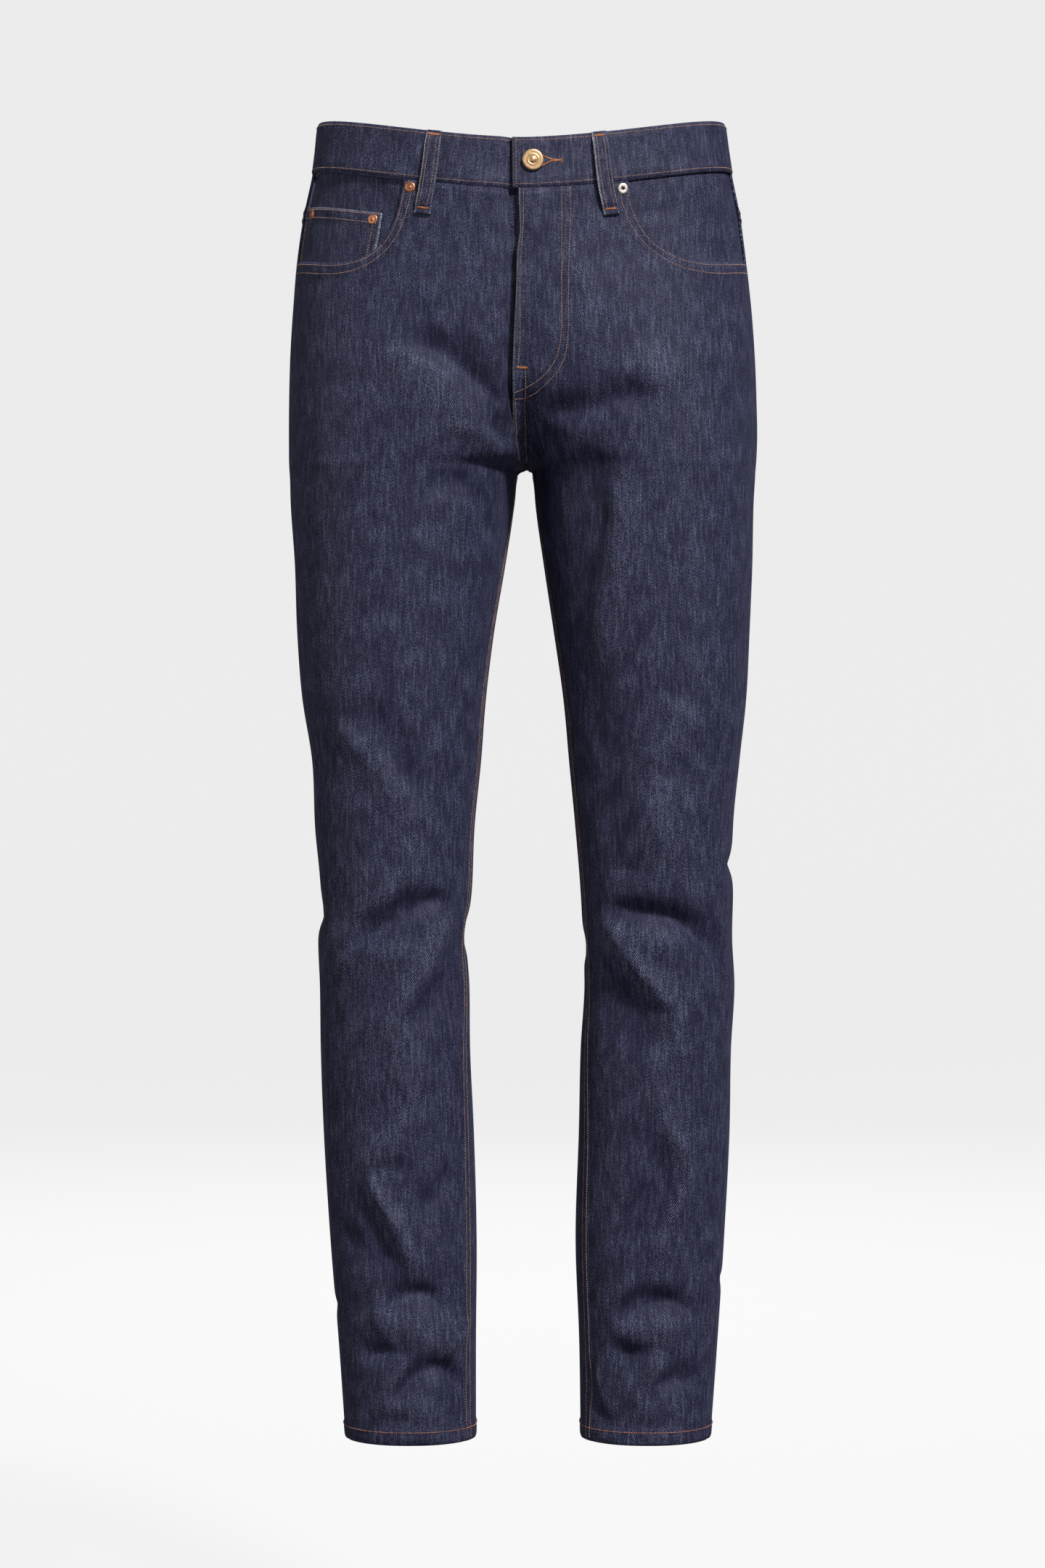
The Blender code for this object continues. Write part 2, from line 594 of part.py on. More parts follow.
def yoke_point(leg, part, row, lift):
    middle = waist_seam(leg, 270.0) - yoke_depth(0) * row / YOKE_ROWS
    side = waist_seam(leg, 360.0) - yoke_depth(1) * row / YOKE_ROWS
    angle = back_angle(leg, middle, side, part)
    return cloth(leg, angle, waist_seam(leg, angle) - yoke_depth(part) * row / YOKE_ROWS, lift)


def back_point(leg, part, row, lift):
    """Points of a back: part 0 is the seat seam and inseam, part 1 the side seam."""
    middle_top = waist_seam(leg, 270.0) - yoke_depth(0) - SEAM_GAP
    side_top = waist_seam(leg, 360.0) - yoke_depth(1) - SEAM_GAP
    top = waist_seam(leg, back_angle(leg, middle_top, side_top, part)) - yoke_depth(part) - SEAM_GAP
    inner_height = panel_heights(middle_top, np.zeros_like(row), row)
    outer_height = panel_heights(side_top, np.ones_like(row), row)
    height = panel_heights(top, part, row)
    return cloth(leg, back_angle(leg, inner_height, outer_height, part), height, lift + hem_lift(height))


def back(leg, material):
    return sheet("back_" + leg, PANEL_COLUMNS, PANEL_ROWS,
                 lambda column, row, lift: back_point(leg, column / PANEL_COLUMNS, row, lift),
                 CLOTH_WALL, material)


def yoke(leg, material):
    return sheet("yoke_" + leg, PANEL_COLUMNS, YOKE_ROWS,
                 lambda column, row, lift: yoke_point(leg, column / PANEL_COLUMNS, row, lift),
                 CLOTH_WALL, material)


def back_pocket(leg, material):
    """A patch on the back's own columns and rows, with a last row that hangs down in a point."""
    first, last = BACK_POCKET_COLUMNS
    top, bottom = BACK_POCKET_ROWS
    corner_hang, middle_hang = BACK_POCKET_HANG

    def place(column, row, lift):
        from_middle = abs(2 * column / (last - first) - 1)
        hang = middle_hang + (corner_hang - middle_hang) * from_middle
        panel_row = np.where(row > bottom - top, bottom + hang, top + row)
        proud = BACK_POCKET_GAP + BACK_POCKET_WALL
        return back_point(leg, (first + column) / PANEL_COLUMNS, panel_row, lift + proud)

    return sheet("back_pocket_" + leg, last - first, bottom - top + 1, place, BACK_POCKET_WALL, material)


# ---- waistband and belt loops -------------------------------------------------------------------
def waist_place(turn):
    """Leg and angle for a turn round the waist: 0 the middle front, 90 the right side, 180 the back."""
    on_right = (turn >= 0) & (turn < 180)
    return on_right, np.where(on_right, 90 - turn, (turn + 90) % 360)


def waist_point(turn, above_seam, lift):
    """Points round the waist, this much above (or below) the waist seam."""
    on_right, angle = waist_place(turn)
    points = [cloth(leg, angle, waist_rise(leg, angle) - BAND_HEIGHT / 2 + above_seam, lift)
              for leg in ("left", "right")]
    return np.where(on_right[..., None], points[1], points[0])


def waistband(material):
    """One strip round the waist, its left end lapping over its right end."""
    def place(column, row, lift):
        turn = BAND_START + (BAND_END - BAND_START) * column / BAND_COLUMNS
        proud = BAND_PROUD - (BAND_WALL + LAYER_GAP) * (1 - ease(*BAND_DIP, turn))
        above = SEAM_GAP / 2 + (BAND_HEIGHT - SEAM_GAP / 2) * (1 - row / BAND_ROWS)
        return waist_point(turn, above, lift + proud)

    return sheet("waistband", BAND_COLUMNS, BAND_ROWS, place, BAND_WALL, material)


def belt_loop(name, turns, material):
    """A folded strip, sewn down above the waistband and below the waist seam, standing off between."""
    length = BAND_HEIGHT + LOOP_ABOVE + LOOP_BELOW

    def place(column, row, lift):
        part, stand = np.array(LOOP_SHAPE)[row.astype(int)].T
        middle = turns[0] + (turns[1] - turns[0]) * part
        turn = middle + (column / LOOP_COLUMNS - 0.5) * np.degrees(LOOP_WIDTH / WAIST_RADIUS)
        above = BAND_HEIGHT + LOOP_ABOVE - length * part
        on_band = BAND_PROUD * ease(-LOOP_STEP, 0, above)
        off = on_band + LOOP_SEAT + (LOOP_STAND - LOOP_SEAT) * stand + LOOP_WALL
        return waist_point(turn, above, lift + off)

    return sheet(name, LOOP_COLUMNS, len(LOOP_SHAPE) - 1, place, LOOP_WALL, material)


# ---- metal --------------------------------------------------------------------------------------
def outward(point_at, reach=1 * MM):
    """Direction straight out of a surface given by point_at(across, down, lift)."""
    here = point_at(0, 0, 0)
    across = point_at(reach, 0, 0) - here
    down = point_at(0, reach, 0) - here
    normal = np.cross(across, down)
    normal *= np.sign(normal.dot(point_at(0, 0, reach) - here))
    return normal / np.linalg.norm(normal)


def button(material):
    def point_at(across, down, lift):
        turn = BUTTON_TURN + degrees(across / WAIST_RADIUS)
        return waist_point(np.array(turn), np.array(BUTTON_ABOVE - down), BAND_PROUD + METAL_GAP + lift)

    return turned("button", BUTTON_PROFILE, BUTTON_SIDES, point_at(0, 0, 0), outward(point_at), material)


def rivet(name, leg, angle, drop, seat, material):
    def point_at(across, down, lift):
        here = angle + degrees(across / WAIST_RADIUS)
        return cloth(leg, here, waist_seam(leg, here) - drop - down, RIVET_SEATS[seat] + METAL_GAP + lift)

    return turned(name, RIVET_PROFILE, RIVET_SIDES, point_at(0, 0, 0), outward(point_at), material)


# ---- the jeans ----------------------------------------------------------------------------------
for thing in list(bpy.data.objects):
    bpy.data.objects.remove(thing)
jeans = new_collection("slim_jeans")
denim = new_material("indigo_denim", (0.028, 0.033, 0.075), 0.85)
brass = new_material("brass", (0.60, 0.43, 0.22), 0.35, 1.0)
copper = new_material("copper", (0.62, 0.33, 0.20), 0.35, 1.0)
nickel = new_material("nickel", (0.72, 0.70, 0.66), 0.30, 1.0)

for leg in SIDE:
    front(leg, denim)
    pocket_facing(leg, denim)
    back(leg, denim)
    yoke(leg, denim)
    back_pocket(leg, denim)
coin_pocket(denim)
waistband(denim)
for name, turns in LOOPS.items():
    belt_loop(name, turns, denim)
button(brass)
for name, (leg, angle, drop, seat) in RIVETS.items():
    rivet(name, leg, angle, drop, seat, nickel if leg == "left" else copper)
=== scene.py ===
from functools import partial
from math import cos, pi, radians, sin

import bpy
import numpy as np
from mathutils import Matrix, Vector
from mathutils.bvhtree import BVHTree


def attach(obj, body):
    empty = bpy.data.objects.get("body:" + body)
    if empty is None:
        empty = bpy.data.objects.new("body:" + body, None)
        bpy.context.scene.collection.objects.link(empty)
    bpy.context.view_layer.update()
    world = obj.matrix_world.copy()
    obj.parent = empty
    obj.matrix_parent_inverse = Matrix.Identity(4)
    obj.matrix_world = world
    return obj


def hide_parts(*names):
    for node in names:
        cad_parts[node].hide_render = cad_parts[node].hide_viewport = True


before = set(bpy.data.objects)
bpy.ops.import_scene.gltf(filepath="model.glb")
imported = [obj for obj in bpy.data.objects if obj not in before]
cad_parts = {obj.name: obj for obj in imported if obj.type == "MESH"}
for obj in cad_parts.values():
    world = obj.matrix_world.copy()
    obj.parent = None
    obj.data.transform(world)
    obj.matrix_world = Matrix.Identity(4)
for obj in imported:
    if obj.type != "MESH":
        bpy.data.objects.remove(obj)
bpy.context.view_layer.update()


# ==== pocket facings =============================================================================
# The piece of the jeans' own denim that shows inside each front pocket's mouth. It is cut with the
# hip's curve, sewn to the pocket bag and caught in the waistband and the side seam. It is the first
# piece laid on the body, so the form that all the cloth follows is here: each leg a tube of ovals,
# a place on it its angle (0 outer side, 90 front, 180 inner side, 270 back) and its height.
MM = 0.001
SIDE = {"right": -1, "left": 1}          # which way the outer side of each leg lies along X
CLOTH_WALL = 0.0014                      # heavy denim with its turned seams
FACING_WALL = 0.0012
COIN_WALL = 0.0010
SEAM_GAP = 0.0003                        # between neighbours
LAYER_GAP = 0.0008                       # between layers

BAND_HEIGHT = 0.041                      # of the waistband
SIDE_DIP = 0.003                         # its middle line is this far below the origin at the sides,
FRONT_DIP = 0.030                        # this far below it at the front,
BACK_RISE = 0.004                        # and this far above it at the back
DIP_POWER = 1.66                         # how the dip grows from the side to the middle
CROTCH_HEIGHT = -0.2645
HEM_HEIGHT = -1.0625
OVAL_POWER = 2.2                         # 2 is an ellipse, more is squarer

SECTION_COLUMNS = ("height", "right_outer", "right_inner", "left_inner", "left_outer", "front", "back")
SECTIONS = (                             # the ovals, in millimetres
    (40, -166, 165, -166, 165, -102, 103),
    (20, -168.5, 168, -168.5, 167, -103.5, 105),
    (-20, -173, 173, -173, 172.5, -107, 109),
    (-58, -181, 176, -177, 180, -110, 116),
    (-95, -186.5, 165, -163, 185, -112, 122),
    (-130, -189.5, 134.5, -131.5, 189, -113.5, 126),
    (-170, -192, 93, -91.5, 192, -114, 127),
    (-210, -193, 55, -53, 193.5, -113, 125),
    (-245, -193, 20, -16, 193.8, -111, 119),
    (-264.5, -192.6, 3.6, 3.6, 192.6, -110, 114),
    (-267.5, -192.4, -3.2, 8.6, 192.3, -109.7, 113.4),
    (-273, -192, -4.6, 9.6, 192, -109, 112),
    (-291, -191.4, -6.6, 10.8, 190.8, -108, 106),
    (-345, -187.5, -14.4, 17.8, 189.3, -105, 92),
    (-400, -185.4, -23.4, 25.8, 186.8, -102, 80),
    (-455, -181, -30, 33.5, 183.9, -98, 70),
    (-507, -172.8, -34.2, 38.4, 178.2, -93, 63),
    (-560, -170.5, -39.5, 43.5, 173, -89, 57),
    (-615, -166, -42, 48, 173, -84.5, 52),
    (-652, -168, -46, 49.8, 172.4, -80, 52),
    (-690, -166.8, -43.8, 51, 174.4, -76.5, 54),
    (-742, -166.2, -43.2, 48, 171.8, -72.5, 55),
    (-810, -164, -40.2, 46.5, 170.8, -67, 57),
    (-903, -158.4, -37.8, 43.8, 166.2, -61.5, 57),
    (-985, -151.8, -38.4, 46.8, 161, -58, 56.5),
    (-1062.5, -146.4, -38.4, 48, 155.4, -56, 56),
)
SEAM_COLUMNS = ("height", "outseam", "inseam")
SEAMS = (                                # how far forward of the leg's outer and inner side each seam lies
    (40, 6, 0),
    (-150, 7, 0),
    (-264.5, 12, 0),
    (-330, 17, 9),
    (-430, 23, 14),
    (-640, 35, 15),
    (-800, 29, 22),
    (-1062.5, 25, 25),
)

# The folds: a crease from one place to another, bowed up or down, its half width and how far it stands
# out (or goes in, below 0). Degrees round the leg, and millimetres.
FOLD_COLUMNS = ("from_angle", "from_height", "to_angle", "to_height", "bow", "width", "lift")
FOLDS = {
    "right": (
        (72, -170, 127, -232, 4, 12, -4.5),
        (66, -186, 136, -256, -4, 13, 3.0),
        (97, -296, 138, -309, 16, 10, -2.8),
        (57, -478, 101, -545, 0, 11, 3.2),
        (78, -462, 108, -538, 0, 11, -3.2),
        (101, -545, 97, -600, 0, 11, 2.2),
        (39, -668, 96, -600, 0, 12, 3.0),
        (66, -656, 127, -618, 12, 10, -5.5),
        (70, -666, 104, -664, 0, 11, 2.4),
        (92, -716, 134, -634, 0, 11, 3.4),
        (92, -718, 100, -790, 8, 11, 2.6),
        (98, -720, 131, -682, 0, 13, -3.0),
        (68, -842, 101, -791, 0, 11, 2.8),
        (67, -846, 97, -917, 0, 10, 3.6),
        (40, -892, 90, -919, 0, 13, -3.2),
        (107, -869, 134, -840, 0, 11, -2.0),
        (76, -944, 119, -949, 8, 10, -4.4),
        (66, -958, 138, -980, 0, 13, 2.8),
        (54, -985, 74, -990, 0, 11, -3.0),
        (86, -1012, 139, -1015, 14, 10, -4.4),
        (68, -1034, 110, -1033, 0, 11, 2.0),
        (236, -292, 304, -268, 6, 13, -4.0),
        (228, -330, 290, -312, 4, 13, -2.6),
        (222, -594, 312, -584, -6, 12, -4.0),
        (228, -616, 318, -610, -4, 11, 2.6),
        (226, -640, 322, -638, -8, 12, -4.6),
        (232, -676, 306, -668, -5, 12, -3.4),
        (250, -390, 282, -520, 0, 14, 2.4),
        (244, -780, 300, -850, 0, 13, 2.4),
        (238, -946, 300, -938, -6, 11, -3.4),
        (232, -1002, 292, -1010, -5, 11, -3.2),
        (330, -640, 385, -622, 0, 12, -2.6),
        (165, -640, 205, -652, 0, 11, -2.4),
    ),
    "left": (
        (77, -211, 127, -228, -3, 11, -4.5),
        (58, -190, 80, -206, 0, 15, 2.4),
        (112, -262, 137, -420, 0, 15, -4.0),
        (126, -430, 112, -600, 0, 16, -2.8),
        (99, -290, 122, -424, 0, 14, 2.4),
        (71, -466, 93, -512, 0, 11, 3.2),
        (92, -512, 86, -588, 0, 12, 2.6),
        (75, -505, 88, -522, 0, 9, -2.0),
        (38, -667, 124, -628, 13, 11, -5.8),
        (76, -657, 112, -650, 0, 13, 2.6),
        (82, -713, 135, -635, 0, 12, 3.8),
        (76, -735, 84, -712, 0, 11, 2.6),
        (76, -737, 90, -792, 6, 12, 2.6),
        (100, -742, 130, -690, 0, 15, -3.4),
        (68, -838, 91, -792, 0, 11, 2.8),
        (68, -840, 90, -911, 0, 10, 3.6),
        (94, -850, 106, -900, 0, 14, -2.4),
        (56, -953, 121, -953, 11, 10, -4.8),
        (60, -970, 114, -972, 0, 12, 3.0),
        (90, -988, 122, -988, 0, 11, -3.4),
        (82, -992, 101, -1030, 0, 10, 3.0),
        (40, -1014, 94, -1021, 10, 10, -3.6),
        (236, -286, 306, -264, 6, 13, -4.0),
        (232, -322, 296, -306, 4, 13, -2.6),
        (226, -588, 314, -580, -6, 12, -3.8),
        (230, -612, 320, -604, -4, 11, 2.6),
        (224, -634, 316, -630, -8, 12, -4.8),
        (236, -668, 312, -664, -5, 12, -3.4),
        (256, -380, 286, -500, 0, 14, 2.4),
        (240, -800, 296, -862, 0, 13, 2.4),
        (242, -952, 304, -942, -6, 11, -3.4),
        (236, -1008, 296, -1014, -5, 11, -3.0),
        (332, -600, 388, -584, 0, 12, -2.6),
        (165, -654, 205, -662, 0, 11, -2.4),
    ),
}
FOLD_FREE = (12 * MM, 34 * MM)           # folds die out between these distances of the middle seams

# Finer creases between the folds: half width and lift in millimetres, then the path's angles and heights.
CREASES = {
    "right": (
        (6, -3.0, (63, -661), (81, -644), (105, -628), (123, -619), (132, -626)),
        (7, 3.0, (134, -632), (126, -656), (109, -682), (96, -708), (90, -732), (93, -760), (99, -778)),
        (6, 2.2, (90, -615), (67, -657), (37, -687)),
        (5, 1.8, (53, -590), (35, -614)),
        (8, -2.4, (142, -661), (130, -690), (116, -713)),
        (6, 3.6, (87, -814), (71, -833), (70, -850), (79, -867), (88, -885), (94, -906), (96, -922)),
        (8, -2.6, (61, -855), (68, -884), (79, -911)),
        (6, -2.2, (72, -838), (88, -833), (102, -838)),
        (6, -2.4, (129, -837), (124, -855), (106, -873)),
        (6, -3.2, (72, -952), (92, -942), (110, -939), (123, -949)),
        (5, 2.0, (70, -943), (68, -956), (72, -971)),
        (5, -2.4, (52, -992), (73, -987), (91, -987)),
        (6, 2.4, (96, -989), (82, -1008), (73, -1022), (74, -1037)),
        (6, -3.4, (76, -1023), (87, -1016), (98, -1007), (109, -1001), (123, -1001), (141, -1020)),
        (6, -1.8, (76, -1041), (95, -1042)),
        (6, 2.2, (147, -960), (139, -977), (125, -988)),
        (8, -2.8, (72, -172), (82, -178), (101, -200), (122, -225)),
        (7, -2.4, (119, -234), (133, -252)),
        (8, 2.4, (64, -180), (82, -191), (100, -209)),
        (7, 2.2, (96, -239), (116, -246), (139, -261)),
        (6, -1.6, (108, -278), (120, -280)),
        (5, -1.4, (31, -46), (38, -50), (45, -59)),
        (6, -2.8, (232, -590), (255, -604), (280, -598), (300, -582)),
        (6, -3.2, (228, -626), (250, -642), (285, -646), (312, -630)),
        (7, 2.6, (300, -600), (288, -625), (262, -660), (250, -700)),
        (6, -2.6, (240, -668), (270, -676), (300, -662)),
        (8, 2.2, (262, -700), (278, -740), (272, -790)),
        (7, -2.6, (228, -300), (262, -292), (300, -276)),
        (6, -2.0, (236, -330), (262, -326), (288, -312)),
        (9, 2.0, (300, -300), (285, -350), (276, -410)),
        (6, -2.8, (240, -955), (268, -944), (298, -950)),
        (6, 2.4, (296, -958), (282, -985), (262, -1000)),
        (6, -2.8, (236, -1005), (262, -1012), (290, -1006)),
        (6, 2.4, (250, -850), (262, -880), (258, -920)),
        (6, -2.2, (340, -650), (360, -640), (382, -632)),
        (5, -1.8, (335, -612), (352, -602)),
        (5, -2.0, (165, -650), (185, -662), (205, -660)),
        (5, -1.8, (350, -962), (375, -950)),
    ),
    "left": (
        (6, -3.4, (122, -625), (95, -631), (80, -634), (69, -642), (58, -654), (48, -665)),
        (7, 3.0, (128, -633), (114, -661), (96, -688), (82, -708), (78, -742)),
        (10, -2.8, (133, -672), (118, -698), (101, -719)),
        (12, 1.8, (86, -524), (84, -560), (87, -595)),
        (6, 3.8, (82, -805), (69, -826), (66, -847), (74, -879), (84, -915)),
        (10, -4.0, (97, -798), (86, -830), (82, -854), (90, -884), (99, -912)),
        (6, -3.2, (115, -958), (88, -948), (76, -945), (56, -954)),
        (6, 2.4, (105, -927), (119, -950), (117, -975)),
        (5, -2.2, (116, -988), (98, -988)),
        (5, -2.2, (141, -995), (146, -1013), (138, -1036), (119, -1045)),
        (5, 1.8, (137, -1000), (132, -1023)),
        (6, 2.6, (87, -989), (85, -1000), (99, -1027), (101, -1044)),
        (6, -2.2, (94, -996), (96, -1011), (106, -1029)),
        (6, -2.0, (96, -1028), (84, -1013), (69, -1010), (48, -1016)),
        (5, -1.6, (101, -1041), (91, -1046)),
        (6, -1.8, (119, -594), (106, -595)),
        (6, -1.8, (100, -703), (92, -712)),
        (8, -3.0, (122, -229), (103, -227), (91, -219), (77, -212)),
        (7, -2.0, (122, -234), (127, -253)),
        (10, 1.8, (73, -104), (84, -144), (93, -179)),
        (9, 2.0, (67, -178), (72, -202), (77, -225)),
        (12, -2.6, (111, -276), (114, -314), (121, -351)),
        (8, 2.4, (102, -277), (104, -314), (108, -352)),
        (6, -1.8, (79, -67), (91, -93), (97, -105)),
        (5, -1.4, (49, -70), (39, -64), (33, -59)),
        (6, -2.8, (236, -584), (258, -596), (284, -592), (306, -576)),
        (6, -3.2, (226, -622), (252, -636), (282, -640), (310, -624)),
        (7, 2.6, (236, -600), (252, -630), (276, -662), (290, -705)),
        (6, -2.6, (244, -662), (268, -670), (302, -666)),
        (8, 2.2, (282, -705), (266, -750), (272, -800)),
        (7, -2.6, (232, -294), (264, -286), (302, -270)),
        (6, -2.0, (240, -322), (266, -318), (292, -306)),
        (9, 2.0, (244, -296), (256, -350), (268, -404)),
        (6, -2.8, (244, -948), (270, -954), (300, -942)),
        (6, 2.4, (246, -960), (262, -984), (284, -1002)),
        (6, -2.6, (240, -1012), (266, -1006), (292, -1014)),
        (6, 2.4, (286, -840), (272, -872), (280, -915)),
        (6, -2.2, (338, -606), (358, -594), (384, -588)),
        (5, -1.8, (335, -648), (354, -656)),
        (5, -2.0, (165, -656), (184, -668), (203, -666)),
        (5, -1.8, (348, -940), (374, -930)),
    ),
}
CREASE_POWER = 1.6                       # how sharp a crease's crest is: 2 is round, 1 is a sharp edge
CREASE_DEPTH = 1.25                      # how much of its lift the cloth takes up
CREASE_ENDS = (0.04, 0.96)               # it fades towards these parts of its length,
CREASE_FADE = 0.6                        # the less the smaller this is


def smooth_curve(knots, values, at):
    """A smooth curve through numbers or points, read at these places along it."""
    slopes = np.gradient(values, knots, axis=0)
    below = np.clip(np.searchsorted(knots, at) - 1, 0, len(knots) - 2)
    span = knots[below + 1] - knots[below]
    t = (at - knots[below]) / span
    if values.ndim > 1:
        span, t = span[:, None], t[:, None]
    return ((2 * t**3 - 3 * t**2 + 1) * values[below] + (t**3 - 2 * t**2 + t) * span * slopes[below]
            + (3 * t**2 - 2 * t**3) * values[below + 1] + (t**3 - t**2) * span * slopes[below + 1])


def curve_through(rows, columns, name, height):
    """Smooth curve through one column of a table of millimetres or degrees, read at these heights."""
    table = np.array(rows)[::-1]
    return smooth_curve(table[:, 0] * MM, table[:, columns.index(name)], height)


def section(name, height):
    return curve_through(SECTIONS, SECTION_COLUMNS, name, height) * MM


def seam(name, height):
    return curve_through(SEAMS, SEAM_COLUMNS, name, height)


def ease(start, end, value):
    """0 before start, 1 after end, smooth between."""
    t = np.clip((value - start) / (end - start), 0, 1)
    return t * t * (3 - 2 * t)


def ridge(value, width):
    """1 at 0, falling to nothing at about twice this width."""
    return np.exp(-(value / width)**2)


def oval(leg, height):
    """Middle and half sizes of a leg's oval."""
    outer = section(leg + "_outer", height)
    inner = section(leg + "_inner", height)
    front = section("front", height)
    back = section("back", height)
    return (outer + inner) / 2, (front + back) / 2, abs(outer - inner) / 2, (back - front) / 2


def seam_plane(height):
    """X of the middle seams, where the two legs' ovals cross."""
    right_inner = section("right_inner", height)
    half_right = oval("right", height)[2]
    half_left = oval("left", height)[2]
    overlap = (right_inner - section("left_inner", height)) / (half_right + half_left)
    return right_inner - half_right * overlap


def angle_at(leg, x, height):
    """Angle at which the front of a leg's oval crosses x."""
    middle_x, _, half_width, half_depth = oval(leg, height)
    across = np.clip(SIDE[leg] * (x - middle_x) / half_width, -1, 1)
    forward = (1 - abs(across)**OVAL_POWER)**(1 / OVAL_POWER)
    return np.degrees(np.arctan2(forward * half_depth, across * half_width))


def reach_out(half_width, half_depth, turn):
    """From an oval's middle to its edge."""
    return ((abs(np.cos(turn)) / half_width)**OVAL_POWER
            + (abs(np.sin(turn)) / half_depth)**OVAL_POWER)**(-1 / OVAL_POWER)


def smooth_path(corners, step=2 * MM):
    """A smooth path through corners given in millimetres, as points in metres."""
    corners = np.array(corners, float) * MM
    length = np.concatenate([[0], np.cumsum(np.linalg.norm(np.diff(corners, axis=0), axis=1))])
    return smooth_curve(length, corners, np.linspace(0, length[-1], max(3, int(length[-1] / step) + 1)))


def fold_lift(leg, angle, height):
    """How far the folds move the cloth out of its oval."""
    lift = np.zeros_like(height)
    for row in FOLDS[leg]:
        fold = dict(zip(FOLD_COLUMNS, row))
        start_height = fold["from_height"] * MM
        run_down = (fold["to_height"] - fold["from_height"]) * MM
        _, _, half_width, half_depth = oval(leg, np.array(start_height + run_down / 2))
        radius = (half_width + half_depth) / 2
        run_round = radians(fold["to_angle"] - fold["from_angle"]) * radius
        middle_angle = (fold["from_angle"] + fold["to_angle"]) / 2
        turned = (angle - middle_angle + 180) % 360 - 180
        round_it = np.radians(turned) * radius
        down_it = height - start_height - run_down / 2
        length = np.hypot(run_round, run_down)
        along = (round_it * run_round + down_it * run_down) / length**2 + 0.5
        aside = (down_it * run_round - round_it * run_down) / length
        aside = aside - fold["bow"] * MM * (1 - (2 * along - 1)**2)
        lift += fold["lift"] * MM * np.exp(-(2 * along - 1)**6 - (aside / (fold["width"] * MM))**2)
    return lift


def read_between(table, row, column):
    """A table read between its points. Its last column runs on into its first."""
    i, j = row.astype(int), column.astype(int)
    di, dj = row - i, column - j
    j, after = j % table.shape[1], (j + 1) % table.shape[1]
    return ((table[i, j] * (1 - dj) + table[i, after] * dj) * (1 - di)
            + (table[i + 1, j] * (1 - dj) + table[i + 1, after] * dj) * di)


LIFT_TURN = 0.75                         # degrees between the columns of the map of lifts
LIFT_STEP = 2 * MM                       # height between its rows
LIFT_HEIGHTS = np.arange(HEM_HEIGHT - 8 * MM, 0.05, LIFT_STEP)


def lift_map(leg):
    """How far folds and creases move the cloth out of its oval, on a grid of heights and angles."""
    angle, height = np.meshgrid(np.arange(0, 360, LIFT_TURN), LIFT_HEIGHTS)
    lift = fold_lift(leg, angle, height)
    for width, proud, *path in CREASES[leg]:
        path = np.array(path, float)
        _, _, half_width, half_depth = oval(leg, np.array(path[:, 1].mean() * MM))
        radius = (half_width + half_depth) / 2
        line = smooth_path(np.stack([np.radians(path[:, 0]) * radius / MM, path[:, 1]], axis=-1))
        fade = np.sin(pi * np.linspace(*CREASE_ENDS, len(line)))**CREASE_FADE
        low = line.min(axis=0) - 3 * width * MM
        high = line.max(axis=0) + 3 * width * MM
        rows = slice(*np.searchsorted(LIFT_HEIGHTS, (low[1], high[1])))
        columns = np.arange(*(np.degrees((low[0], high[0])) / radius / LIFT_TURN).astype(int))
        round_it = np.radians(columns * LIFT_TURN) * radius
        far = np.hypot(round_it[None, :, None] - line[:, 0], LIFT_HEIGHTS[rows][:, None, None] - line[:, 1])
        crest = (fade * np.exp(-(far / (width * MM))**CREASE_POWER)).max(axis=-1)
        lift[rows, columns % lift.shape[1]] += CREASE_DEPTH * proud * MM * crest
    return lift


LIFTS = {leg: lift_map(leg) for leg in SIDE}


def lifted(leg, angle, height):
    """How far folds and creases move the cloth out at a place on a leg."""
    row = np.clip((height - LIFT_HEIGHTS[0]) / LIFT_STEP, 0, len(LIFT_HEIGHTS) - 1.001)
    return read_between(LIFTS[leg], row, angle % 360 / LIFT_TURN)


def cloth(leg, angle, height, lift=0.0):
    """Points of a leg's cloth, moved out by lift."""
    angle, height = np.broadcast_arrays(np.asarray(angle, float), np.asarray(height, float))
    middle_x, middle_y, half_width, half_depth = oval(leg, height)
    turn = np.radians(angle)
    reach = reach_out(half_width, half_depth, turn)
    across = reach * np.cos(turn)
    forward = reach * np.sin(turn)
    out_across = np.sign(across) * (abs(across) / half_width)**(OVAL_POWER - 1) / half_width
    out_forward = np.sign(forward) * (abs(forward) / half_depth)**(OVAL_POWER - 1) / half_depth
    size = np.hypot(out_across, out_forward)
    from_seam = abs(middle_x + SIDE[leg] * across - seam_plane(height))
    below = ease(CROTCH_HEIGHT, CROTCH_HEIGHT - FOLD_FREE[1], height)
    free = ease(*FOLD_FREE, from_seam) * (1 - below) + below
    out = lift + free * lifted(leg, angle, height)
    x = middle_x + SIDE[leg] * (across + out * out_across / size)
    y = middle_y - forward - out * out_forward / size
    return np.stack([x, y, height], axis=-1)


def waist_rise(leg, angle):
    """Height of the waistband's middle line."""
    _, _, half_width, half_depth = oval(leg, np.array(0.0))
    turn = np.radians(np.asarray(angle, float))
    reach = reach_out(half_width, half_depth, turn)
    from_side = 1 - (reach * abs(np.cos(turn)) / half_width)**DIP_POWER
    return -SIDE_DIP + np.where(np.sin(turn) > 0, SIDE_DIP - FRONT_DIP, SIDE_DIP + BACK_RISE) * from_side


def waist_seam(leg, angle):
    """Height of the panels' upper edge."""
    return waist_rise(leg, angle) - BAND_HEIGHT / 2 - SEAM_GAP / 2


def edge_angle(leg, height):
    """The angle that half the gap along a seam takes up."""
    _, _, half_width, half_depth = oval(leg, height)
    return np.degrees(SEAM_GAP / 2 / np.minimum(half_width, half_depth))


